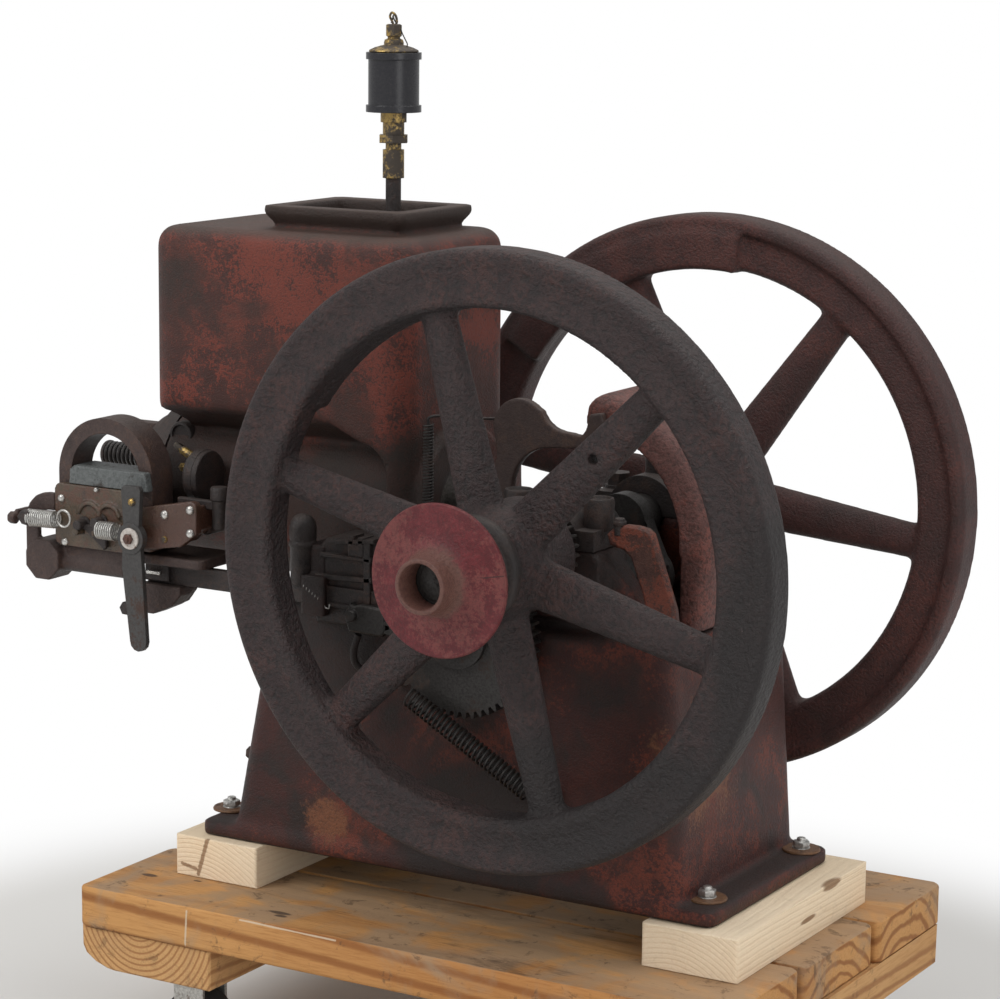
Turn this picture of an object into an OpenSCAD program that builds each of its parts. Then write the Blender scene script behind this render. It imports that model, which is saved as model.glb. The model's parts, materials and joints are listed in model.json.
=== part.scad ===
// Stationary hopper-cooled gas engine with two spoked flywheels, standing on a plank dolly.
// Millimetres, +Z up, crankshaft along Y, cylinder head towards -X, magneto side towards -Y.
// Each module is drawn about the crankshaft's middle plane with z = 0 at the underside of the
// bed's foot, and seat() moves it so that the origin lies at the bottom centre of the whole box.

/* [Flywheels] */
// Diameter of both flywheels
wheel_d = 514; // [480:2:530]
// Width of the flywheel rims along the shaft
rim_w = 40; // [34:1:46]
// Radial depth of the flywheel rims
rim_t = 48; // [40:1:56]
// Distance between the outer faces of the two rims
wheel_span = 430; // [424:2:450]
// Number of spokes in each wheel
spokes = 6; // [5:1:7]
// Width of a spoke where it leaves the hub
spoke_w_hub = 44; // [36:1:48]
// Width of a spoke where it meets the rim
spoke_w_rim = 31; // [24:1:36]
// Thickness of a spoke along the shaft
spoke_t = 22; // [18:1:26]
// Diameter of the flywheel hubs
hub_d = 96; // [86:1:100]
// Turn of the near wheel's first spoke
near_spoke_turn = -15; // [-60:1:60]
// Turn of the far wheel's first spoke
far_spoke_turn = -6.5; // [-60:0.5:60]

/* [Crankshaft] */
// Height of the crankshaft above the underside of the foot
crank_z = 304; // [300:1:312]
// Diameter of the crankshaft journals
shaft_d = 38; // [34:1:40]
// Throw of the crankpin
throw_r = 50.8; // [46:0.2:52]
// Direction in which the crankpin stands at rest
crank_turn = -65; // [-80:1:-50]
// Thickness of the crank webs
web_t = 17; // [14:1:20]
// Length of the crankpin between the webs
pin_len = 40; // [36:1:42]
// How far the shaft stands out past the far hub
far_stub = 28; // [20:1:40]

/* [Belt pulley] */
// Diameter of the pulley's outer flange
pulley_flange_d = 126; // [120:1:136]
// Diameter of the belt face
pulley_d = 100; // [90:1:108]
// Width of the pulley from hub to outer flange
pulley_w = 52; // [44:1:60]
// Length of the boss in front of the flange
boss_len = 30; // [22:1:36]
// Diameter of the boss
boss_d = 55; // [50:1:60]
// How deep the shaft's end lies inside the boss
shaft_recess = 26; // [18:1:30]

/* [Timing gears] */
// Module of the gear teeth
gear_m = 2.54; // [2.4:0.02:2.6]
// Teeth on the crank gear
crank_teeth = 28; // [26:1:30]
// Width of the gears
gear_w = 15; // [12:1:16]
// Direction from the crankshaft to the cam gear's stud
cam_dir = 228; // [224:1:232]

/* [Bed] */
// Width of the bed across the shaft
bed_w = 228; // [222:2:232]
// Height of the bed's box under the cylinder
bed_h = 232; // [226:1:240]
// Length of the foot flange
foot_len = 520; // [510:1:530]
// Thickness of the foot flange
foot_t = 14; // [12:1:18]
// Thickness of the bed's walls
bed_wall = 9; // [7:1:12]
// Length of each main bearing along the shaft
bearing_len = 52; // [46:1:54]
// Radius of the bed's upright corners
bed_r = 16; // [10:1:20]

/* [Cylinder and hopper] */
// Length of the hopper along the cylinder
hopper_len = 273; // [256:1:284]
// Width of the hopper
hopper_w = 183; // [170:1:192]
// Top of the hopper above the underside of the foot
hopper_top = 548; // [530:1:560]
// Underside of the hopper's sides
hopper_low = 388; // [384:1:396]
// Wall thickness of the hopper
hopper_wall = 8; // [6:1:10]
// Radius of the hopper's upright corners
hopper_r = 26; // [18:1:32]
// Diameter of the water jacket
jacket_d = 152; // [146:1:158]
// Bore of the cylinder
bore_d = 88.9; // [80:0.1:92]
// Length of the mouth's lip
lip_len = 149; // [134:1:160]
// Width of the mouth's lip
lip_w = 124; // [114:1:134]

/* [Magneto] */
// Distance of the magneto's front plate from the middle plane
mag_y = 150; // [146:1:154]
// Outer width of the horseshoe magnet
magnet_w = 105; // [98:1:110]
// Radial thickness of the magnet bar
magnet_t = 14; // [11:1:16]
// Width of the magnet bar along the shaft
magnet_b = 30; // [26:1:32]
// Length of the magneto's front plate
plate_w = 84; // [80:1:88]
// Height of the magneto's front plate
plate_h = 57; // [54:1:60]
// Thickness of the shelf that carries the magneto
shelf_t = 9; // [8:1:10]
// Length of the hand lever
lever_len = 149; // [138:1:162]
// Diameter of the hand lever's hub
lever_hub_d = 28; // [24:1:30]

/* [Oiler] */
// Diameter of the oiler's pipe
pipe_d = 13.7; // [12:0.1:17]
// Height of the pipe's top above the foot
pipe_top = 594; // [585:1:610]
// Diameter of the oiler's cup
cup_d = 45; // [40:1:50]
// Height of the oiler's cup
cup_h = 52; // [44:1:60]

/* [Dolly] */
// Thickness of planks, bearers and blocks
plank_t = 38; // [34:1:42]
// Width of the mounting blocks
block_w = 89; // [84:1:96]
// Length of the mounting blocks
block_len = 260; // [250:1:280]
// Height of the casters
caster_h = 82; // [76:1:96]
// Diameter of the caster wheels
caster_d = 62; // [54:1:62]
// Length of the longest plank
deck_len = 657; // [645:1:665]
// Width of the deck across its three planks
deck_w = 424; // [418:1:436]

/* [Hidden] */
wheel_r = wheel_d / 2;
rim_in = wheel_r - rim_t;
rim_out_y = wheel_span / 2;
rim_mid_y = rim_out_y - rim_w / 2;
hub_in_y = bed_w / 2 + 26;
hub_out_y = rim_out_y + 8;
shaft_r = shaft_d / 2;
stub_r = shaft_r - 1.5;
fit_gap = 0.05;
seat_gap = 0.3;
web_y = pin_len / 2;
big_end_r = shaft_r + 11;
bearing_in_y = bed_w / 2 - bearing_len;
pulley_in_y = hub_out_y + 4;
pulley_out_y = pulley_in_y + pulley_w;
boss_y = pulley_out_y + boss_len;
stub_y = hub_out_y + far_stub;
cam_teeth = 2 * crank_teeth;
gear_dist = gear_m * (crank_teeth + cam_teeth) / 2;
cam_x = gear_dist * cos(cam_dir);
cam_z = crank_z + gear_dist * sin(cam_dir);
gear_y = bed_w / 2 + 5;
stud_r = 11;
foot_x1 = 166;
foot_x0 = foot_x1 - foot_len;
hop_x1 = -153;
hop_x0 = hop_x1 - hopper_len;
jacket_r = jacket_d / 2;
head_x = hop_x0 - 5;
lip_x = hop_x0 + 178;
lip_z = hopper_top + 21;
pipe_x = hop_x0 + 204;
cup_z = pipe_top + 58;
lever_x = -392;
lever_z = 277;
magnet_x = -438;
anchor_x = -527;
deck_x0 = -427;
deck_y0 = -201;
foot_z = 3 * plank_t + caster_h;
caster_wheel_r = caster_d / 2;
backlash = 0.4;
rim_step = 6;
rim_step_r = 13;
weight_in = 2;
weight_arc = 66;
spring_y = bed_w / 2 + 34;
spring_a = [-138, 174];
spring_b = [14, 99];
rod_y = bed_w / 2 + 8;
rod_z = 231;
rod_h = 18;
shelf_z = rod_z + rod_h + 1;
plate_z = shelf_z + shelf_t + seat_gap;
cover_z = plate_z + plate_h + seat_gap;
magnet_z = 300;
plate_x0 = -488;
plate_x1 = plate_x0 + plate_w;
box_r_x1 = -331;
tube_z = shelf_z - 8;
block_x = -502;
block_r = 20;
lower_x0 = -405;
lower_x1 = -361;
guide_x0 = -232;
guide_x1 = -208;
rail_z0 = 262;
rail_z1 = 284;
pit_x0 = -128;
guard_r = 125;
guard_in = 95;
guard_t = 7;
guard_c = 14;
nose_x = 5;
bracket_t = 9;
guard_y = bearing_in_y - bracket_t - 2 * seat_gap;
fillet_r = 16;
spoke_hole_r = 134.5;
recess_r = 25;
web_r = shaft_r + 6;
box_x0 = anchor_x - 6;
box_x1 = wheel_r;
box_y0 = -boss_y;
box_y1 = max(stub_y, deck_y0 + deck_w);

module seat() {
    translate([-(box_x0 + box_x1) / 2, -(box_y0 + box_y1) / 2, foot_z]) children();
}

// Turns a drawing's z towards -Y and its y up, so that a profile of x and z runs along the shaft.
module from_near(y) {
    translate([0, y, 0]) rotate([90, 0, 0]) children();
}

// Extrudes an outline of x and z between two distances along Y.
module across(y0, y1) {
    from_near(y1) linear_extrude(y1 - y0) children();
}

// Extrudes an outline of y and z between two distances along X.
module along(x0, x1) {
    translate([x0, 0, 0]) rotate([90, 0, 90]) linear_extrude(x1 - x0) children();
}

module round_rect(w, d, r) {
    square([w - 2 * r, d], center = true);
    square([w, d - 2 * r], center = true);
    for (x = [-1, 1], y = [-1, 1])
        translate([x * (w / 2 - r), y * (d / 2 - r)]) circle(r, $fn = 32);
}

module ring_y(x, z, y0, y1, r) {
    translate([x, y0, z]) rotate([-90, 0, 0]) cylinder(r = r, h = y1 - y0, $fn = 64);
}

// Points of an arc, used for rounded outlines.
function arc(cx, cy, r, a0, a1, n = 6) =
    [for (i = [0 : n]) let (a = a0 + (a1 - a0) * i / n) [cx + r * cos(a), cy + r * sin(a)]];

// Spur gear outline with involute flanks, thinned for a little backlash.
function inv(a) = tan(a) * 180 / PI - a;
function half_tooth(r, rb, rp, half) = half + inv(acos(rb / rp)) - inv(acos(min(1, rb / r)));
module gear_outline(teeth) {
    rp = gear_m * teeth / 2;
    rb = rp * cos(20);
    rt = rp + 0.9 * gear_m;
    rf = rp - 1.2 * gear_m;
    rs = max(rb, rf + 0.2);
    half = 90 / teeth - backlash / (2 * rp) * 180 / PI;
    up = [for (i = [0 : 3]) let (r = rs + (rt - rs) * i / 3) [r, half_tooth(r, rb, rp, half)]];
    polar = [for (t = [0 : teeth - 1]) let (a = 360 * t / teeth) each concat(
        [[rf, a - up[0][1]]],
        [for (p = up) [p[0], a - p[1]]],
        [for (i = [3 : -1 : 0]) [up[i][0], a + up[i][1]]],
        [[rf, a + up[0][1]]])];
    polygon([for (p = polar) [p[0] * cos(p[1]), p[0] * sin(p[1])]]);
}

// Section of a flywheel rim: r across, z = 0 at the outer face and falling towards the engine.
module rim_section() {
    face = arc((wheel_r + rim_in) / 2, 60, 63, 247, 293, 6);
    polygon(concat(
        [[wheel_r - 9, 0], [wheel_r - 4, -0.6], [wheel_r, -5]],
        [[wheel_r, 4 - rim_w], [wheel_r - 4, -rim_w], [wheel_r - rim_step_r, -rim_w],
         [wheel_r - rim_step_r - 2, rim_step - rim_w], [rim_in + 4, rim_step - rim_w],
         [rim_in, rim_step + 4 - rim_w]],
        [[rim_in, -4], [rim_in + 4, -0.6], [rim_in + 8, 0]],
        [for (i = [1 : 5]) let (t = i / 6) [rim_in + 8 + (rim_t - 17) * t, -3 * sin(180 * t)]]));
}

module spoke() {
    r0 = hub_d / 2 - 8;
    r1 = rim_in + 6;
    hull() {
        translate([r0, 0, 0]) rotate([90, 0, 90]) linear_extrude(1)
            scale([spoke_w_hub / spoke_t, 1]) circle(d = spoke_t, $fn = 28);
        translate([r1, 0, 0]) rotate([90, 0, 90]) linear_extrude(1)
            scale([spoke_w_rim / spoke_t, 1]) circle(d = spoke_t, $fn = 28);
    }
}

// Flat plate inside a wheel that rounds the corners between spokes, hub and rim.
module spoke_fillets(turn) linear_extrude(0.62 * spoke_t, center = true) difference() {
    circle(r = rim_in + 6, $fn = 120);
    offset(r = fillet_r, $fn = 32) offset(delta = -fillet_r) difference() {
        circle(r = rim_in + 4, $fn = 120);
        circle(r = hub_d / 2 - 4, $fn = 64);
        for (i = [0 : spokes - 1]) rotate(turn + 360 / spokes * i)
            polygon([[0, -0.41 * spoke_w_hub], [rim_in + 9, -0.36 * spoke_w_rim],
                     [rim_in + 9, 0.36 * spoke_w_rim], [0, 0.41 * spoke_w_hub]]);
    }
}

// A flywheel drawn flat: z = 0 at the outer face of its rim, the engine below.
module flywheel(turn, weight_turn) {
    difference() {
        union() {
            rotate_extrude($fn = 120) rim_section();
            for (i = [0 : spokes - 1])
                rotate([0, 0, turn + 360 / spokes * i]) translate([0, 0, -rim_w / 2]) spoke();
            translate([0, 0, -rim_w / 2]) spoke_fillets(turn);
            rotate_extrude($fn = 64) polygon([
                [shaft_r - 1, hub_in_y - rim_out_y], [hub_d / 2 - 3, hub_in_y - rim_out_y],
                [hub_d / 2, hub_in_y - rim_out_y + 3], [hub_d / 2, (spoke_t - rim_w) / 2 + 1.5],
                [hub_d / 2 - 6, hub_out_y - rim_out_y - 3], [hub_d / 2 - 9, hub_out_y - rim_out_y],
                [shaft_r - 1, hub_out_y - rim_out_y]]);
            rotate([0, 0, weight_turn]) translate([0, 0, -rim_w - 2])
                rotate_extrude(angle = weight_arc, $fn = 120)
                    translate([rim_in - weight_in, 0])
                        square([weight_in + rim_t - rim_step_r - 3, 16]);
        }
        translate([0, 0, hub_in_y - rim_out_y - 1])
            cylinder(r = shaft_r + fit_gap, h = hub_out_y - hub_in_y + 2, $fn = 64);
    }
}

// The near wheel has a small hole through one spoke.
module near_flywheel() color("#3a2a26") seat()
    translate([0, -rim_out_y, crank_z]) rotate([90, 0, 0]) difference() {
        flywheel(near_spoke_turn, 82);
        rotate([0, 0, near_spoke_turn + 360 / spokes]) translate([spoke_hole_r, 0, -rim_w])
            cylinder(d = 9, h = rim_w, $fn = 32);
    }

module far_flywheel() color("#3d2320") seat()
    translate([0, rim_out_y, crank_z]) rotate([-90, 0, 0])
        flywheel(-far_spoke_turn, -82 - weight_arc);

// Crankshaft with its two webs and the crankpin.
module crankshaft() color("#4a4644") seat() {
    ring_y(0, crank_z, -boss_y + shaft_recess, -web_y - web_t / 2, shaft_r);
    ring_y(0, crank_z, web_y + web_t / 2, hub_out_y, shaft_r);
    ring_y(0, crank_z, hub_out_y - 1, stub_y, stub_r);
    for (y = [-web_y - web_t, web_y]) {
        ring_y(0, crank_z, y, y + web_t, web_r);
        ring_y(throw_r * cos(crank_turn), crank_z + throw_r * sin(crank_turn), y, y + web_t, web_r);
        translate([0, 0, crank_z]) across(y + 1, y + web_t - 1) rotate(crank_turn)
            translate([0, 1 - web_r]) square([throw_r, 2 * web_r - 2]);
    }
    translate([0, 0, crank_z]) rotate([0, -crank_turn, 0]) translate([throw_r, -web_y - 1, 0])
        rotate([-90, 0, 0]) cylinder(r = shaft_r - 2, h = pin_len + 2, $fn = 64);
}

// Connecting rod's split big end, closed round the crankpin.
module big_end() color("#5a4a3a") seat()
    translate([throw_r * cos(crank_turn), 0, crank_z + throw_r * sin(crank_turn)])
        difference() {
            union() {
                ring_y(0, 0, -web_y + 2, web_y - 2, big_end_r - 2);
                for (s = [-1, 1]) translate([s * 24 - 7, -14, -15]) cube([14, 28, 30]);
            }
            ring_y(0, 0, -web_y, web_y, shaft_r - 2 + fit_gap);
        }

// Belt pulley turned in one profile: face, thin outer flange, fillet and boss with a countersunk end.
module belt_pulley() color("#8a1f24") seat()
    translate([0, -pulley_in_y, crank_z]) rotate([90, 0, 0]) rotate_extrude($fn = 96) polygon(concat(
        [[shaft_r + fit_gap, 0], [pulley_d / 2 + 3, 0], [pulley_d / 2 + 3, 5], [pulley_d / 2, 7],
         [pulley_d / 2, pulley_w - 13], [pulley_flange_d / 2 - 2, pulley_w - 6],
         [pulley_flange_d / 2, pulley_w - 4.5], [pulley_flange_d / 2, pulley_w - 3],
         [pulley_flange_d / 2 - 2, pulley_w - 1.5]],
        arc(boss_d / 2 + 11, pulley_w + 12, 11, 270, 180),
        [[boss_d / 2, pulley_w + boss_len - 2], [boss_d / 2 - 2.5, pulley_w + boss_len],
         [shaft_r + 3, pulley_w + boss_len], [shaft_r + fit_gap, pulley_w + boss_len - 5]]));

module crank_gear() color("#4f4a46") seat()
    translate([0, -gear_y, crank_z]) rotate([90, 0, 0]) difference() {
        union() {
            linear_extrude(gear_w) rotate(cam_dir) gear_outline(crank_teeth);
            cylinder(r = shaft_r + 8, h = hub_in_y - gear_y - seat_gap, $fn = 64);
        }
        translate([0, 0, -1]) cylinder(r = shaft_r + fit_gap, h = gear_w + 30, $fn = 64);
    }

module cam_gear() color("#45403d") seat()
    translate([cam_x, -gear_y, cam_z]) rotate([90, 0, 0]) difference() {
        union() {
            linear_extrude(gear_w) rotate(cam_dir + 180 + 180 / cam_teeth) gear_outline(cam_teeth);
            cylinder(r = stud_r + 9, h = gear_w + 5, $fn = 64);
            translate([0, 0, gear_w]) linear_extrude(5) {
                circle(r = 30, $fn = 64);
                rotate(150) translate([14, 0]) circle(r = 22, $fn = 64);
            }
        }
        translate([0, 0, -1]) cylinder(r = stud_r + fit_gap, h = gear_w + 10, $fn = 64);
    }

// Stud that carries the cam gear, screwed into the bed's near wall.
module cam_stud() color("#5c5a58") seat() {
    ring_y(cam_x, cam_z, -gear_y - gear_w - 8, -bed_w / 2, stud_r);
    ring_y(cam_x, cam_z, -gear_y - gear_w - 12, -gear_y - gear_w - 5.5, stud_r + 5);
}

// Side outline of the bed's box at a height z, measured from its sloping ends.
function bed_left(z) = foot_x0 + 30 + 0.2 * z;
function bed_right(z) = foot_x1 - 31 - 0.072 * z;
module bed_outline(inset) {
    polygon([[bed_left(0) + inset, 0], [bed_right(0) - inset, 0],
             [bed_right(bed_h) - inset, bed_h], [bed_left(bed_h) + inset, bed_h]]);
}

// Rounded slab of the bed's box at a height z.
module bed_slab(z, inset) translate([(bed_left(z) + bed_right(z)) / 2, 0, z]) linear_extrude(1)
    round_rect(bed_right(z) - bed_left(z) - 2 * inset, bed_w - 2 * inset, bed_r - inset);

// Block under a main bearing, and the sloping web that carries it.
module bearing_block(y) {
    across(y, y + bearing_len) polygon([
        [48, crank_z], [54, crank_z - 5], [54, crank_z - 30], [30, crank_z - 60],
        [-66, crank_z - 60], [-86, crank_z - 44], [-60, crank_z - 5], [-50, crank_z]]);
    across(y + bearing_len / 2 - 14, y + bearing_len / 2 + 14) polygon([
        [bed_right(bed_h) - 1, bed_h - 12], [53, crank_z - 4], [-59, crank_z - 4], [-118, bed_h - 12]]);
}

module bed() color("#7a2a22") seat() difference() {
    union() {
        translate([(foot_x0 + foot_x1) / 2, 0, 0]) linear_extrude(foot_t)
            round_rect(foot_len, bed_w + 6, 12);
        hull() {
            bed_slab(foot_t / 2, 0);
            bed_slab(bed_h - 6, 0);
            bed_slab(bed_h - 1, 3);
        }
        for (y = [-bed_w / 2, bearing_in_y]) bearing_block(y);
        ring_y(cam_x, cam_z, -bed_w / 2, -bearing_in_y - 13, stud_r + 8);
        translate([bed_left(46) - 9, 30, 40]) cube([14, 12, 12]);
        for (p = [spring_a, spring_b]) ring_y(p[0], p[1], -spring_y - 8, 1 - bed_w / 2, 5);
    }
    across(-bed_w / 2 + bed_wall, bed_w / 2 - bed_wall) intersection() {
        bed_outline(bed_wall);
        translate([foot_x0, -1]) square([foot_len, bed_h - bed_wall + 1]);
    }
    translate([bed_left(0) + bed_wall, -bed_w / 2 + bed_wall, -1])
        cube([bed_right(0) - bed_left(0) - 2 * bed_wall, bed_w - 2 * bed_wall, foot_t + 2]);
    translate([pit_x0, -bearing_in_y, bed_h - bed_wall - 1])
        cube([bed_right(bed_h) - bed_wall - pit_x0, 2 * bearing_in_y, bed_wall + 2]);
    ring_y(0, crank_z, -bed_w, bed_w, shaft_r + fit_gap);
    along(foot_x0, hop_x1 + 12) translate([0, crank_z]) circle(r = jacket_r + seat_gap, $fn = 96);
    for (x = [foot_x0 + 10, foot_x1 - 20], y = [-78, 85])
        translate([x, y, -1]) cylinder(r = 6.5, h = foot_t + 2, $fn = 32);
}

// Upper half of a main bearing with its two bolts' bosses.
module bearing_cap(y0) difference() {
    union() {
        intersection() {
            ring_y(0, crank_z, y0, y0 + bearing_len, shaft_r + 16);
            translate([-60, y0, crank_z]) cube([120, bearing_len, 60]);
        }
        translate([-48, y0, crank_z + seat_gap]) cube([96, bearing_len, 17]);
        for (x = [-38, 38]) translate([x, y0 + bearing_len / 2, crank_z + 16]) {
            cylinder(d = 24, h = 4, $fn = 48);
            cylinder(d = 22, h = 15, $fn = 6);
        }
        translate([0, y0 + bearing_len / 2, crank_z + shaft_r + 14])
            cylinder(d = 20, h = 14, $fn = 48);
    }
    ring_y(0, crank_z, y0 - 1, y0 + bearing_len + 1, shaft_r + fit_gap);
    translate([-60, y0 - 1, crank_z - 60]) cube([120, bearing_len + 2, 60 + seat_gap]);
}
module near_bearing_cap() color("#4e3a34") seat() bearing_cap(-bed_w / 2);
module far_bearing_cap() color("#4e3a34") seat() bearing_cap(bearing_in_y);

// Side of the hopper in y and z: upright walls that curve in below to a neck over the jacket.
module hopper_side() polygon(concat(
    [[hopper_w / 2 + 2, hopper_top + 2], [-hopper_w / 2 - 2, hopper_top + 2]],
    arc(20 - hopper_w / 2, hopper_low + 12, 22, 180, 255),
    [[-jacket_r * 0.62, hopper_low - 26], [-jacket_r * 0.8, crank_z + jacket_r * 0.5],
     [jacket_r * 0.8, crank_z + jacket_r * 0.5], [jacket_r * 0.62, hopper_low - 26]],
    arc(hopper_w / 2 - 20, hopper_low + 12, 22, 285, 360)));

// Corner of the hopper: an upright post with a rounded top.
module hopper_corner() rotate_extrude($fn = 32) polygon(concat(
    [[0, bed_h + seat_gap], [hopper_r, bed_h + seat_gap]],
    arc(8, hopper_top - hopper_r + 8, hopper_r - 8, 0, 90),
    [[0, hopper_top]]));

// Hopper's outer form: rounded box, cut away below to its neck, with the skirt at its inner end.
module hopper_form() intersection() {
    hull() for (x = [hop_x0 + hopper_r, hop_x1 - hopper_r], y = [-1, 1])
        translate([x, y * (hopper_w / 2 - hopper_r), 0]) hopper_corner();
    union() {
        intersection() {
            along(hop_x0 - 1, hop_x1 + 1) hopper_side();
            across(-hopper_w, hopper_w) polygon(concat(
                [[hop_x1 + 3, hopper_top + 3], [hop_x0 - 2, hopper_top + 3]],
                arc(hop_x0 + 20, hopper_low + 12, 22, 180, 255),
                [[hop_x0 + 28, crank_z], [hop_x1 + 3, crank_z]]));
        }
        across(-hopper_w, hopper_w) polygon(concat(
            [[hop_x1 - 20, bed_h - 1], [hop_x1 + 2, bed_h - 1], [hop_x1 + 2, hopper_low + 20],
             [hop_x1 - 90, hopper_low + 20], [hop_x1 - 90, hopper_low + 2]],
            arc(hop_x1 - 20 - recess_r, hopper_low - 18 - recess_r, recess_r, 90, 0)));
    }
}

module hopper() color("#86281f") seat() difference() {
    union() {
        hopper_form();
        along(hop_x0 - 2, hop_x1 + 10) translate([0, crank_z]) circle(d = jacket_d, $fn = 96);
        translate([bed_left(bed_h) + 6, -jacket_r + 14, bed_h + seat_gap])
            cube([hop_x1 - bed_left(bed_h) - 8, jacket_d - 28, crank_z - bed_h]);
        translate([lip_x, 0, hopper_top - 4]) linear_extrude(7) round_rect(lip_len - 20, lip_w - 20, 7);
        hull() {
            translate([lip_x, 0, hopper_top + 2]) linear_extrude(1) round_rect(lip_len - 18, lip_w - 18, 8);
            translate([lip_x, 0, lip_z - 8]) linear_extrude(1) round_rect(lip_len - 2, lip_w - 2, 8);
        }
        translate([lip_x, 0, lip_z - 7.5]) linear_extrude(7.5) round_rect(lip_len, lip_w, 9);
    }
    translate([hop_x0 + hopper_wall, -hopper_w / 2 + hopper_wall, hopper_low + 6])
        cube([hopper_len - 2 * hopper_wall, hopper_w - 2 * hopper_wall, hopper_top - hopper_low - 6 - hopper_wall]);
    translate([lip_x, 0, hopper_top - hopper_wall - 1]) linear_extrude(30)
        round_rect(lip_len - 20 - 2 * hopper_wall, lip_w - 20 - 2 * hopper_wall, 5);
    along(hop_x0 - 3, hop_x1 + 11) translate([0, crank_z]) circle(d = bore_d, $fn = 96);
}

module cylinder_head() color("#2f2b2a") seat() {
    along(head_x - 12, hop_x0 - 2 - seat_gap) translate([0, crank_z]) circle(d = jacket_d - 2, $fn = 96);
    along(head_x - 34, head_x - 12) translate([0, crank_z]) circle(d = jacket_d - 34, $fn = 96);
    for (y = [-22, 22]) along(head_x - 50, head_x - 34) translate([y, crank_z + 18]) circle(d = 20, $fn = 48);
}

// Piston and the part of the connecting rod that stays clear of the crank's circle.
module piston() color("#6b6460") seat() {
    along(hop_x1 - 70, hop_x1 - 6) translate([0, crank_z]) circle(d = bore_d - 0.6, $fn = 96);
    along(hop_x1 - 6, -throw_r - web_r - 12) translate([0, crank_z]) round_rect(26, 30, 8);
}

// Section of the hood in r and y: a channel's outline with rounded outer corners.
module guard_section(r, inset, r_in) polygon(concat(
    [[r_in, inset - guard_y]],
    arc(r - guard_c, guard_c - guard_y, guard_c - inset, 270, 360, 4),
    arc(r - guard_c, guard_y - guard_c, guard_c - inset, 0, 90, 4),
    [[r_in, guard_y - inset]]));

module guard_ring(a0, a1, inset, r_in) translate([0, 0, crank_z]) rotate([90, 0, 0])
    rotate([0, 0, a0]) rotate_extrude(angle = a1 - a0, $fn = 96) guard_section(guard_r, inset, r_in);

module guard_leg(inset, r_in, z0, z1) hull() {
    translate([0, 0, z1]) linear_extrude(1) guard_section(guard_r, inset, r_in);
    translate([0, 0, z0]) linear_extrude(1) guard_section(bed_right(bed_h) - 0.5, inset, r_in);
}

// Cast hood that arches over the crank, from its rounded nose down to the bed's end wall.
module crank_guard() color("#8c4a44") seat() {
    intersection() {
        difference() {
            guard_ring(-4, 92, 0, guard_in);
            guard_ring(-6, 81, guard_t, guard_in - 5);
        }
        across(-guard_y - 1, guard_y + 1) polygon(concat(
            [[nose_x, crank_z - 30], [guard_r + 5, crank_z - 30], [guard_r + 5, crank_z + guard_r + 5],
             [nose_x + 20, crank_z + guard_r + 5]],
            arc(nose_x + 20, crank_z + guard_r - 21.5, 20, 90, 180)));
    }
    difference() {
        guard_leg(1, guard_in + 1, bed_h + seat_gap, crank_z - 3);
        guard_leg(guard_t + 1, guard_in - 5, bed_h - 1, crank_z - 1);
    }
}

// Lobed flat bracket that carries the hood, on the near bearing's inner side.
module guard_bracket() color("#4a4240") seat() translate([0, -guard_y - seat_gap, crank_z])
    across(-bracket_t, 0) polygon(concat(
        arc(-55, 88, 26, 180, 46, 12),
        arc(-10, 114, 25, 200, 262),
        [[6, 87], [10, 93], [13, 106], [24, 108], [29, 93], [23, 81], [6, 76]],
        arc(-24, 36, 38, 90, 180),
        [[-64, 10], [-66, -42], [-76, -42], [-80, 10], [-81, 40], [-77, 64]]));

// Flat bar that carries the cam's motion to the magneto.
module push_rod() color("#3c3633") seat()
    translate([lower_x0 + 3, -rod_y - 4, rod_z]) cube([-156 - lower_x0 - 3, 8, rod_h]);

// Guide of the push rod on the bed's near side, and the side rail above it beside the hopper's skirt.
module rod_guide() color("#5a2620") seat() difference() {
    union() {
        translate([guide_x0, -rod_y - 10, rod_z - 9])
            cube([guide_x1 - guide_x0, rod_y + 10 - bed_w / 2, rod_h + 17]);
        translate([guide_x0 + 4, -rod_y - 2, rod_z + rod_h + 4])
            cube([guide_x1 - guide_x0 - 8, rod_y + 2 - hopper_w / 2 - 12, rail_z1 - rod_z - rod_h - 5]);
        translate([guide_x0 + 2, -rod_y + 6, rail_z0])
            cube([-152 - guide_x0, rod_y - 6 - hopper_w / 2 - seat_gap, rail_z1 - rail_z0]);
    }
    translate([guide_x0 - 1, -rod_y - 4 - seat_gap, rod_z - seat_gap])
        cube([guide_x1 - guide_x0 + 2, 8 + 2 * seat_gap, rod_h + 2 * seat_gap]);
}

// Long coil spring beside the cam gear, drawn as a closed sleeve between its two posts.
module trip_spring() color("#242120") seat()
    translate([spring_a[0], -spring_y, spring_a[1]])
        rotate([0, 90 - atan2(spring_b[1] - spring_a[1], spring_b[0] - spring_a[0]), 0])
            translate([0, 0, 5 + seat_gap])
                cylinder(d = 16, h = norm(spring_b - spring_a) - 10 - 2 * seat_gap, $fn = 48);

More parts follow.
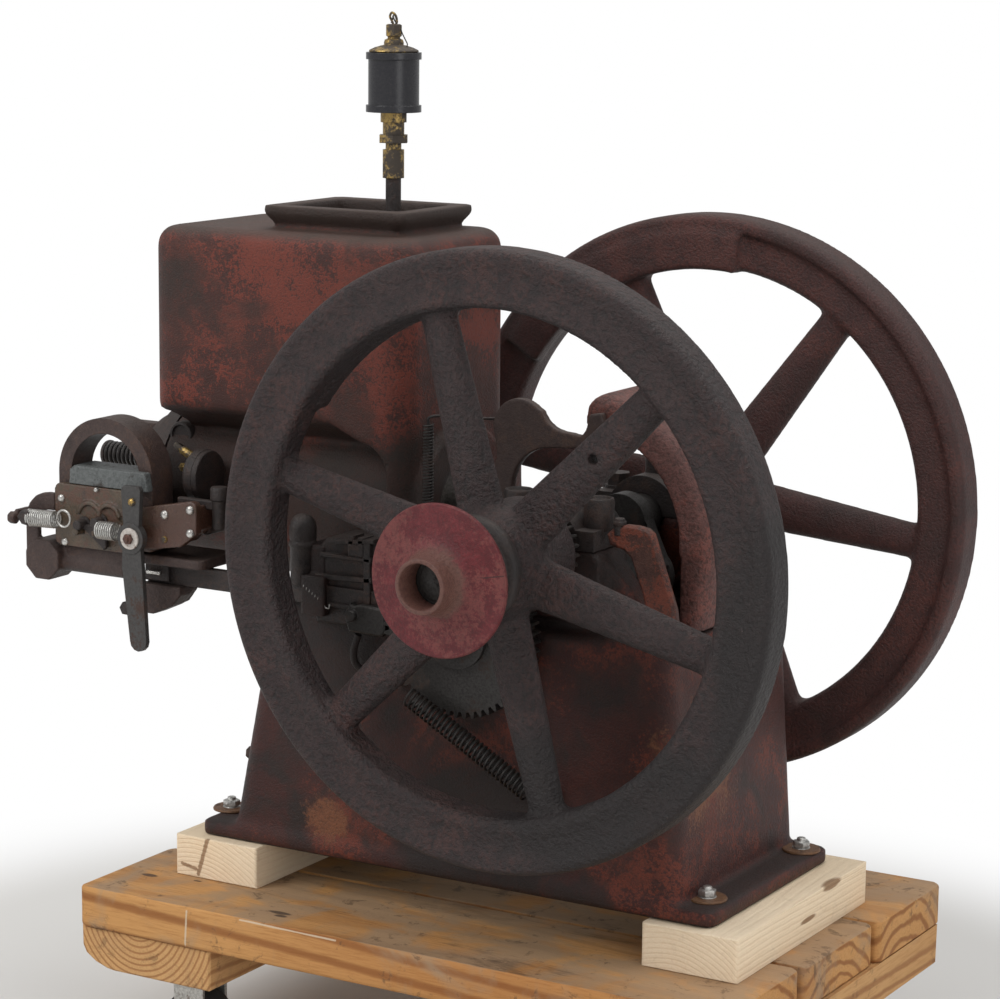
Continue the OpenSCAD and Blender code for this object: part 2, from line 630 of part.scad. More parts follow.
// Casting that holds the magneto beside the cylinder head, with the curved arm of its left spring.
module magneto_bracket() color("#33302f") seat() {
    translate([(plate_x0 + box_r_x1) / 2, -mag_y + 36, shelf_z]) linear_extrude(shelf_t)
        round_rect(box_r_x1 - plate_x0, 56, 8);
    translate([head_x - 10, -mag_y + 60, shelf_z + 1])
        cube([12, mag_y - 60 - jacket_r + 1 - seat_gap, crank_z + 14 - shelf_z]);
    across(-mag_y - 3, -mag_y + 27) translate([block_x, tube_z + 2]) rotate(22.5) circle(r = block_r, $fn = 8);
    translate([block_x, -mag_y + 14, tube_z]) rotate([0, 90, 0])
        cylinder(d = 18, h = plate_x1 - block_x - 12, $fn = 48);
    translate([plate_x0 + 4, -mag_y + 8, tube_z]) cube([18, 12, 12]);
    across(-mag_y, -mag_y + 6) polygon(concat(
        [[plate_x0 - seat_gap, 290], [plate_x0 - seat_gap, 306]],
        arc(-496, 280, 26, 90, 180),
        [[-522, 250], [-508, 250]],
        arc(-496, 278, 12, 180, 90, 4)));
    translate([anchor_x, -mag_y - 9, 281]) cube([4, 12, 8]);
    translate([anchor_x + 3, -mag_y, 280]) cube([9, 6, 10]);
    translate([anchor_x - 6, -mag_y - 9, 281]) rotate([0, 90, 0]) cylinder(r = 6, h = 8, $fn = 6);
    across(-rod_y + 4 + seat_gap, -rod_y + 17) polygon([
        [lower_x0, shelf_z + 2], [lower_x1, shelf_z + 2], [lower_x1, 226], [lower_x1 - 10, 213],
        [lower_x1 - 30, 204], [lower_x0, 204]]);
    across(-rod_y - 12, -rod_y + 8) polygon([
        [lower_x0, rod_z - seat_gap], [lower_x1, rod_z - seat_gap], [lower_x1, 223],
        [lower_x1 - 10, 212], [lower_x1 - 30, 203], [lower_x0, 203]]);
}

// Body of the magneto: front plate with its arched ribs, coil box, pole pieces and the trip housing.
module magneto_body() color("#5d4a38") seat() {
    across(-mag_y, -mag_y + 8) translate([(plate_x0 + plate_x1) / 2, plate_z + plate_h / 2])
        round_rect(plate_w, plate_h, 6);
    for (x = [plate_x0 + 40, plate_x0 + 62]) across(-mag_y - 3, -mag_y + 1) difference() {
        translate([x, plate_z + 30]) circle(r = 14, $fn = 48);
        translate([x, plate_z + 30]) circle(r = 10, $fn = 48);
        translate([x - 20, plate_z - 10]) square([40, 41]);
    }
    across(-mag_y - 2, -mag_y + 1) translate([plate_x0 + 49, plate_z + 4]) square([4, 30]);
    translate([magnet_x - magnet_w / 2 + magnet_t + seat_gap, -mag_y + 7, plate_z + 1])
        cube([magnet_w - 2 * magnet_t - 2 * seat_gap, 45, plate_h - 1]);
    translate([magnet_x - magnet_w / 2, -mag_y + 7, plate_z + 2])
        cube([magnet_w, 37, magnet_z - seat_gap - plate_z - 2]);
    across(-mag_y + 0.5, -mag_y + 9) polygon(concat(
        [[plate_x1 - 4, plate_z + 2], [-349, plate_z + 12], [box_r_x1, plate_z + 25]],
        arc(box_r_x1 - 6, plate_z + 48, 6, 0, 100, 4), [[plate_x1 - 4, plate_z + 40]]));
    across(-mag_y + 8, -mag_y + 30) polygon([
        [magnet_x + magnet_w / 2 + seat_gap, plate_z + 3], [-351, plate_z + 14],
        [box_r_x1 - 3, plate_z + 27], [box_r_x1 - 3, plate_z + 49],
        [magnet_x + magnet_w / 2 + seat_gap, plate_z + 41]]);
    ring_y(lever_x, lever_z, -mag_y - 16, -mag_y + 2, 4);
    ring_y(-456, 276, -mag_y - 13, -mag_y + 1, 3.5);
    translate([-450, -mag_y - 6, 273]) cube([15.8, 4, 6]);
    translate([-438.2, -mag_y - 12, 273]) cube([4, 8, 6]);
    translate([-450, -mag_y - 6, 273]) cube([4, 7, 6]);
}

// Cover over the magneto's coil box, its front drawn out past the magnet's leg.
module magneto_cover() color("#6f6f6c") seat() {
    across(-mag_y + 1, -mag_y + 10 - seat_gap) polygon([
        [plate_x0 + 15, cover_z], [plate_x0 + 22, cover_z + 17],
        [plate_x1 + 17, cover_z + 17], [plate_x1 + 20, cover_z]]);
    along(magnet_x - magnet_w / 2 + magnet_t + 4, magnet_x + magnet_w / 2 - magnet_t - 4)
        polygon([[-mag_y + 2, cover_z + 0.5], [-mag_y + 2, cover_z + 13], [-mag_y + 9, cover_z + 16],
                 [-mag_y + 37, cover_z + 16], [-mag_y + 45, cover_z + 13], [-mag_y + 45, cover_z + 0.5]]);
}

// Horseshoe magnet standing astride the body.
module magneto_magnet() color("#3b302c") seat()
    translate([0, -mag_y + 10, 0]) across(0, magnet_b) difference() {
        union() {
            intersection() {
                translate([magnet_x, 325]) circle(d = magnet_w, $fn = 96);
                translate([magnet_x - magnet_w, 325]) square([2 * magnet_w, magnet_w]);
            }
            translate([magnet_x - magnet_w / 2, magnet_z]) square([magnet_w, 326 - magnet_z]);
        }
        translate([magnet_x, 325]) circle(d = magnet_w - 2 * magnet_t, $fn = 96);
        translate([magnet_x - magnet_w / 2 + magnet_t, magnet_z - 1])
            square([magnet_w - 2 * magnet_t, 326 - magnet_z]);
    }

module magneto_springs() color("#8a8a86") seat() {
    translate([anchor_x + 4 + seat_gap, -mag_y - 9, 281]) rotate([0, 90, 0]) cylinder(d = 16, h = 38, $fn = 32);
    translate([-434 + seat_gap, -mag_y - 9, 276]) rotate([0, 90, 0]) cylinder(d = 15, h = 21, $fn = 32);
}

module hand_lever() color("#4c4f4e") seat() difference() {
    union() {
        ring_y(lever_x, lever_z, -mag_y - 15, -mag_y - 8, lever_hub_d / 2);
        translate([lever_x, 0, lever_z]) across(-mag_y - 14, -mag_y - 9) polygon(concat(
            [[-10, 44], [-7, 47], [9, 47], [11, 44], [9, 12], [12, -26]],
            arc(7, 56 - lever_len, 9, 0, -180),
            [[-10, -26], [-8, 12]]));
    }
    ring_y(lever_x, lever_z, -mag_y - 17, -mag_y - 6, 4 + fit_gap);
}

module rocker_arm() color("#453f3c") seat() {
    translate([head_x - 66, -28, crank_z + 40]) cube([32 - seat_gap, 14, 12]);
    translate([head_x - 48, -28, crank_z + 30]) cube([14 - seat_gap, 14, 14]);
}

module valve_springs() color("#5c5854") seat()
    for (y = [-22, 22]) along(head_x - 92, head_x - 50 - seat_gap)
        translate([y, crank_z + 18]) circle(d = 24, $fn = 32);

module priming_cup() color("#a8813a") seat()
    translate([hop_x0 + 24, 0, crank_z]) rotate([61, 0, 0]) translate([0, 0, jacket_r + seat_gap]) {
        cylinder(d = 9, h = 14, $fn = 32);
        translate([0, 0, 14]) cylinder(d = 16, h = 14, $fn = 32);
    }

module oiler_pipe() color("#3a3230") seat()
    translate([pipe_x, 0, hopper_low + 6]) cylinder(d = pipe_d, h = pipe_top - hopper_low - 6, $fn = 48);

module oiler_sight() color("#a8873f") seat() translate([pipe_x, 0, pipe_top]) {
    cylinder(d = 19, h = 25, $fn = 48);
    cylinder(d = 14, h = 58, $fn = 48);
    translate([0, 0, 31]) cylinder(d = 28, h = 7, $fn = 6);
    translate([0, 0, 38]) cylinder(d = 19, h = 12, $fn = 48);
    translate([0, 0, 49]) cylinder(d = 23, h = 9, $fn = 48);
}

module oiler_cup() color("#26221f") seat() translate([pipe_x, 0, cup_z]) {
    cylinder(d = cup_d, h = cup_h, $fn = 64);
    cylinder(d = cup_d + 4, h = 6, $fn = 64);
    translate([0, 0, cup_h - 6]) cylinder(d = cup_d + 4, h = 6, $fn = 64);
}

module oiler_cap() color("#7d6a3c") seat() translate([pipe_x, 0, cup_z + cup_h]) {
    cylinder(d1 = cup_d - 4, d2 = 22, h = 5, $fn = 64);
    cylinder(d = 12, h = 13, $fn = 48);
    translate([0, 0, 13]) cylinder(d = 14, h = 12, $fn = 6);
    translate([-3, -1.5, 25]) cube([6, 3, 12]);
}

module deck_planks() color("#c9a06a") seat()
    for (i = [0 : 2]) let (w = (deck_w - 8) / 3)
        translate([deck_x0 + i * 3, deck_y0 + i * (w + 4), -2 * plank_t])
            cube([deck_len - 8 + i, w, plank_t]);

module bearers() color("#b98a55") seat()
    for (x = [deck_x0, deck_x0 + deck_len - 190])
        translate([x, deck_y0 + 4, -3 * plank_t]) cube([190, deck_w - 8, plank_t]);

module mount_blocks() color("#e4d3a8") seat()
    for (x = [foot_x0 - 19, foot_x1 - 60])
        translate([x, -127, -plank_t]) cube([block_w, block_len, plank_t]);

function caster_xs() = [deck_x0 + 95, deck_x0 + deck_len - 105];
function caster_ys() = [deck_y0 + 54, deck_y0 + deck_w - 54];
module casters() color("#6d6f6e") seat()
    for (x = caster_xs(), y = caster_ys()) translate([x, y, -foot_z]) {
        translate([-38, -32, caster_h - 4]) cube([76, 64, 4]);
        cylinder_z = caster_h - 12;
        translate([0, 0, cylinder_z]) cylinder(d = 44, h = 9, $fn = 48);
        for (s = [-1, 1]) translate([-16, s * 17 - 1.5, caster_wheel_r - 8])
            cube([32, 3, cylinder_z - caster_wheel_r + 9]);
        translate([0, -18, caster_wheel_r]) rotate([-90, 0, 0]) cylinder(d = 8, h = 36, $fn = 32);
    }

module caster_wheels() color("#2b2b2b") seat()
    for (x = caster_xs(), y = caster_ys()) translate([x, y - 12, -foot_z + caster_wheel_r])
        rotate([-90, 0, 0]) difference() {
            cylinder(r = caster_wheel_r, h = 24, $fn = 64);
            translate([0, 0, -1]) cylinder(r = 4.05, h = 26, $fn = 32);
        }

deck_planks();
bearers();
casters();
caster_wheels();
mount_blocks();
bed();
hopper();
cylinder_head();
near_bearing_cap();
far_bearing_cap();
crank_guard();
guard_bracket();
piston();
cam_stud();
push_rod();
rod_guide();
trip_spring();
magneto_bracket();
magneto_body();
magneto_cover();
magneto_magnet();
magneto_springs();
rocker_arm();
valve_springs();
priming_cup();
oiler_pipe();
oiler_sight();
oiler_cup();
oiler_cap();
crankshaft();
near_flywheel();
far_flywheel();
belt_pulley();
crank_gear();
big_end();
cam_gear();
hand_lever();
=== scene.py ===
import json
import math
import bpy
from mathutils import Matrix, Vector


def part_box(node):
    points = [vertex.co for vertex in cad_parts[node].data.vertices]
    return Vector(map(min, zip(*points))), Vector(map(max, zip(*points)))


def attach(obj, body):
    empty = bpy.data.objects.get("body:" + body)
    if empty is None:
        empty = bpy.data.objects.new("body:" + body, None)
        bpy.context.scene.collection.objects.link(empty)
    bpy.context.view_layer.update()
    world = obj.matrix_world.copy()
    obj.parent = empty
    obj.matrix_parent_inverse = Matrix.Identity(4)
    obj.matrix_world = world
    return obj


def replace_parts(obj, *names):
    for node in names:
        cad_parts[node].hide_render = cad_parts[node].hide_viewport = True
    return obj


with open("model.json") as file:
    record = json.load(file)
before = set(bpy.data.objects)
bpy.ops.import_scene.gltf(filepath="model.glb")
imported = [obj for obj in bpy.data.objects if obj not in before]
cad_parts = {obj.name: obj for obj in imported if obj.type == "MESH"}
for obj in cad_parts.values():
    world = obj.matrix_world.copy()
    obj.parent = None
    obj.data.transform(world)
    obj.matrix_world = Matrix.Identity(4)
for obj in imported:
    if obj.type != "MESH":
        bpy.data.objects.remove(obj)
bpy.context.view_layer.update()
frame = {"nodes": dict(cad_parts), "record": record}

pivots = {j["name"]: Vector(j["pos_m"]) for j in frame["record"]["behaviour"]["joints"]}
shaft = pivots["crank_spin"]
footToShaft = 0.304


def at(x, y, z):
    # millimetres from the shaft's middle, with z counted from the underside of the foot
    return Vector((shaft.x + x / 1000, shaft.y + y / 1000, shaft.z - footToShaft + z / 1000))


# Shader helpers: one class wraps a socket, one class holds a material's tree

class Wire:
    def __init__(self, net, socket):
        self.net = net
        self.socket = socket

    def __add__(self, other):
        return self.net.sum("ADD", self, other)

    def __radd__(self, other):
        return self.net.sum("ADD", other, self)

    def __sub__(self, other):
        return self.net.sum("SUBTRACT", self, other)

    def __rsub__(self, other):
        return self.net.sum("SUBTRACT", other, self)

    def __mul__(self, other):
        return self.net.sum("MULTIPLY", self, other)

    def __rmul__(self, other):
        return self.net.sum("MULTIPLY", other, self)

    def __truediv__(self, other):
        return self.net.sum("DIVIDE", self, other)

    def __rtruediv__(self, other):
        return self.net.sum("DIVIDE", other, self)

    def __pow__(self, other):
        return self.net.sum("POWER", self, other)

    def __neg__(self):
        return self.net.sum("MULTIPLY", self, -1.0)


class Net:
    def __init__(self, name, world=False):
        self.owner = (bpy.data.worlds if world else bpy.data.materials).new(name)
        self.owner.use_nodes = True
        self.tree = self.owner.node_tree
        self.tree.nodes.clear()
        self.out = self.tree.nodes.new("ShaderNodeOutputWorld" if world else "ShaderNodeOutputMaterial")

    def add(self, kind, settings=None, values=None, output=0):
        # settings come first, then the sockets; an output of None gives all of them
        node = self.tree.nodes.new(kind)
        for key, value in (settings or {}).items():
            setattr(node, key, value)
        for key, value in (values or {}).items():
            self.feed(node.inputs[key], value)
        if output is None:
            return [Wire(self, s) for s in node.outputs]
        return Wire(self, node.outputs[output])

    def feed(self, socket, value):
        if isinstance(value, Wire):
            self.tree.links.new(value.socket, socket)
        elif socket.type == "RGBA" and len(value) == 3:
            socket.default_value = (*value, 1.0)
        else:
            socket.default_value = value

    def show(self, shader):
        self.feed(self.out.inputs["Surface"], shader)
        return self.owner

    def sum(self, operation, first, second=0.0, clamp=False):
        return self.add("ShaderNodeMath", {"operation": operation, "use_clamp": clamp},
                        {0: first, 1: second})

    def clip(self, value):
        return self.sum("ADD", value, 0.0, True)

    def most(self, first, second):
        return self.sum("MAXIMUM", first, second)

    def place(self):
        return self.add("ShaderNodeTexCoord", output="Object")

    def facing(self):
        return self.axes(self.add("ShaderNodeTexCoord", output="Normal"))

    def axes(self, vector):
        return self.add("ShaderNodeSeparateXYZ", {}, {0: vector}, None)

    def scaled(self, vector, by):
        return self.add("ShaderNodeVectorMath", {"operation": "MULTIPLY"}, {0: vector, 1: by})

    def shifted(self, vector, by):
        return self.add("ShaderNodeVectorMath", {"operation": "ADD"}, {0: vector, 1: by})

    def bits(self, vector, scale, detail=4.0, rough=0.55, bend=0.0):
        return self.add("ShaderNodeTexNoise", {"noise_dimensions": "3D"}, {
            "Vector": vector, "Scale": scale, "Detail": detail, "Roughness": rough, "Distortion": bend})

    def span(self, value, low, high):
        # 0 at low, 1 at high, eased between them
        return self.add("ShaderNodeMapRange", {"clamp": True, "interpolation_type": "SMOOTHSTEP"}, {
            "Value": value, "From Min": low, "From Max": high})

    def mix(self, amount, first, second):
        return self.add("ShaderNodeMix", {"data_type": "RGBA", "clamp_factor": True},
                        {"Factor": amount, 6: first, 7: second}, 2)

    def lump(self, spot, reach):
        # distance from a spot, counted in its own reach along each axis
        away = self.scaled(self.shifted(self.place(), tuple(-at(*spot))), tuple(1000 / r for r in reach))
        return self.add("ShaderNodeVectorMath", {"operation": "LENGTH"}, {0: away}, "Value")

    def streak(self, first, last, reach):
        # distance from a straight line between two spots, counted in its reach
        run = at(*last) - at(*first)
        away = self.shifted(self.place(), tuple(-at(*first)))
        share = self.add("ShaderNodeVectorMath", {"operation": "DOT_PRODUCT"},
                         {0: away, 1: tuple(run / run.length_squared)}, "Value")
        foot = self.add("ShaderNodeVectorMath", {"operation": "SCALE"},
                        {0: tuple(run), "Scale": self.clip(share)})
        gap = self.add("ShaderNodeVectorMath", {"operation": "DISTANCE"}, {0: away, 1: foot}, "Value")
        return gap / (reach / 1000)

    def bump(self, height, depth, strength, under=None):
        values = {"Height": height, "Distance": depth, "Strength": strength}
        if under is not None:
            values["Normal"] = under
        return self.add("ShaderNodeBump", {}, values)

    def soften(self, radius):
        return self.add("ShaderNodeBevel", {"samples": 4}, {"Radius": radius})

    def paint(self, values):
        return self.show(self.add("ShaderNodeBsdfPrincipled", {}, values))


# Casting finishes: paint and rust over a sand-cast skin

def oldPaint(name, look):
    # mottled paint over a sand-cast skin: bright patches, grime, dust on top, painted shade on faces
    # turned down, in a band at the belly and in listed shade zones
    look = {**paintBase, **look}
    net = Net(name)
    place = net.shifted(net.place(), look["offset"])
    nx, ny, nz = net.facing()
    broad = net.bits(place, look["patch"], 3, 0.55, 0.5)
    middle = net.bits(place, look["patch"] * 4.7, 5, 0.68, 0.2)
    fine = net.bits(place, 310, 5, 0.75)
    sand = net.bits(place, look["grit"], 3, 0.65)
    tone = net.mix(net.span(middle + (fine - 0.5) * 0.5, 0.36, 0.66), look["paint"], look["faded"])
    edge = look["bright"]
    patch = net.span(broad + (middle - 0.5) * 0.75 + (fine - 0.5) * 1.0, edge, edge + 0.13)
    tone = net.mix(patch * look["patches"], tone, look["warm"])
    other = net.bits(net.shifted(place, (4.7, 9.1, 2.3)), look["patch"] * 1.4, 4, 0.6, 0.6)
    grime = other + (middle - 0.5) * 0.45 + (fine - 0.5) * 0.3
    stain = net.span(grime, look["stain"], look["stain"] + 0.17)
    # painted shade: faces turned down are darkened, as strongly as the under setting says
    under = net.span(-nz, 0.25, 0.85) * look["under"]
    # this mask holds real stains and painted shade together
    dirt = net.most(stain * look["dirty"], under)
    # a dark band about the belly height: partly grime, partly painted shade under the hopper's curve
    if "belly" in look:
        middleZ, reach = look["belly"]
        away = net.sum("ABSOLUTE", net.axes(net.place())[2] - middleZ + (other - 0.5) * 0.03)
        dirt = net.most(dirt, net.span(away, reach, reach * 0.4) * 0.85)
    # painted shade in the listed zones, such as the shaded spaces behind the wheels
    paintedShade = 0.0
    for spot, reach in look["shade"]:
        paintedShade = net.most(paintedShade, net.span(net.lump(spot, reach) + (other - 0.5) * 0.7, 1.15, 0.75) * 0.88)
    dirt = net.most(dirt, paintedShade)
    tone = net.mix(dirt, tone, look["dark"])
    if "core" in look:
        x, y, z = net.axes(net.shifted(net.place(), tuple(-shaft)))
        ring = (x * x + z * z) ** 0.5 + (middle - 0.5) * 0.014
        tone = net.mix(net.span(ring, look["core"], look["core"] * 0.8) * 0.8, tone, look["bare"])
    if "crown" in look:
        low, high = (at(0, 0, z).z for z in look["crownFrom"])
        rim = net.span(net.axes(net.place())[2] + (middle - 0.5) * 0.012, low, high)
        tone = net.mix(rim * 0.8, tone, look["crown"])
    # dust on faces turned up, held back inside the painted shade zones
    dust = net.span(nz + (middle - 0.5) * 0.5, 0.5, 0.95) * look["top"] * (1.0 - net.clip(paintedShade))
    tone = net.mix(dust, tone, look["dust"])
    for spot, reach in look["spots"]:
        seen = net.span(net.lump(spot, reach) + (middle - 0.5) * 2.6 + (fine - 0.5) * 1.6, 1.0, 0.5)
        tone = net.mix(seen * 0.8, tone, look["bare"])
    for first, last, reach in look["cracks"]:
        seen = net.span(net.streak(first, last, reach) + (fine - 0.5) * 2.0, 1.2, 0.6)
        tone = net.mix(seen * 0.85, tone, look["dark"])
    tone = net.mix(net.span(sand, 0.56, 0.36) * look["pits"], tone, look["dark"])
    chips = net.span(net.bits(place, 190, 4, 0.8) + (broad - 0.5) * 0.3, 0.70, 0.76)
    tone = net.mix(chips * look["chips"], tone, look["bare"])
    rough = net.clip(look["rough"] + (fine - 0.5) * 0.4 + dust * 0.2)
    skin = sand * look["sand"] + fine * 0.3 + middle * look["lumps"]
    normal = net.bump(skin, look["depth"], 1.0, net.soften(look["edge"]))
    return net.paint({"Base Color": tone, "Roughness": rough, "Normal": normal,
                      "Specular IOR Level": look["shine"]})


def bareMetal(name, look):
    # metal dulled in fine spots, with rust over part of it
    net = Net(name)
    place = net.shifted(net.place(), look.get("offset", (0, 0, 0)))
    patch = net.bits(place, look["patch"], 5, 0.65)
    fine = net.bits(place, 420, 4, 0.7)
    cover = net.span(patch + (fine - 0.5) * 0.4, look["cover"], look["cover"] + 0.14)
    tone = net.mix(net.span(fine, 0.35, 0.7), look["metal"], look["dull"])
    tone = net.mix(cover, tone, look["rust"])
    rough = net.clip(look["rough"] + cover * 0.35 + (fine - 0.5) * 0.3)
    metal = net.clip(look["metallic"] - cover * look["metallic"])
    normal = net.bump(fine + patch, look.get("depth", 0.0004), 0.8, net.soften(look.get("edge", 0.0012)))
    return net.paint({"Base Color": tone, "Roughness": rough, "Metallic": metal, "Normal": normal})


def timber(name, look):
    # growth rings about a pith that leans a little, so ends show arcs and faces show flames
    net = Net(name)
    place = net.place()
    along = look["along"]
    x, y, z = net.axes(place)
    board, middleLine = look["board"](net, x, y, z)
    lift = net.add("ShaderNodeCombineXYZ", {}, {0: board * 3.1, 1: board * 1.7, 2: board * 2.3})

    def drawn(by, other=1.0):
        # the place squeezed along the board, so noise runs out long with the grain
        return net.scaled(place, tuple(by if a == along else other for a in range(3)))

    line = net.shifted(drawn(0.22), lift)
    warp = net.bits(line, 11, 3, 0.5, 0.3) - 0.5
    across, run = (y, x) if along == 0 else (x, y)
    side = across - middleLine + look["pith"][0] + warp * look["sway"]
    rise = z - look["level"] + look["pith"][1] + run * look["lean"] + warp * look["sway"]
    ring = (side * side + rise * rise) ** 0.5 + (net.bits(place, 60, 3) - 0.5) * 0.0012
    late = net.span(net.sum("SINE", ring * look["rings"]), 0.0, 1.0)
    fibre = net.bits(net.shifted(drawn(0.06), lift), 620, 4, 0.7)
    blotch = net.bits(net.shifted(place, lift), 13, 4, 0.6, 0.8)
    tone = net.mix(net.span(net.bits(line, 5, 2), 0.35, 0.7), look["early"], look["amber"])
    nz = net.facing()[2]
    level = net.span(nz, 0.5, 0.9)
    tone = net.mix(late * look["grain"] * (1.0 - level * 0.6), tone, look["late"])
    tone = net.mix(net.span(fibre, 0.42, 0.72) * 0.35, tone, look["late"])
    worn = net.span(blotch + level * 0.14, 0.50, 0.70)
    tone = net.mix(worn * look["weather"], tone, look["grey"])
    smear = net.span(net.bits(drawn(0.3, 1.4), 16, 5, 0.7, 0.6) + (fibre - 0.5) * 0.2, 0.56, 0.72)
    tone = net.mix(smear * level * look["smear"], tone, look["dark"])
    # dark dirt in random blotches on the wood
    dirt = net.span(net.bits(place, 55, 5, 0.75, 0.5) + blotch * 0.3, 0.72, 0.84)
    tone = net.mix(dirt * look["dirt"], tone, look["dark"])
    for spot, reach in look.get("knots", ()):
        seen = net.span(net.lump(spot, reach) + (fibre - 0.5) * 0.8, 1.1, 0.7)
        tone = net.mix(seen * 0.85, tone, look["knot"])
    for first, last, reach, key in look.get("streaks", ()):
        seen = net.span(net.streak(first, last, reach) + (fibre - 0.5) * 1.6, 1.2, 0.6)
        tone = net.mix(seen * 0.8, tone, look[key])
    normal = net.bump(fibre * 0.5 + late * -0.25 + net.bits(place, 240, 3) * 0.3, 0.0012, 0.8)
    rough = net.clip(0.72 + (fibre - 0.5) * 0.4)
    return net.paint({"Base Color": tone, "Roughness": rough, "Normal": normal,
                      "Specular IOR Level": 0.25})


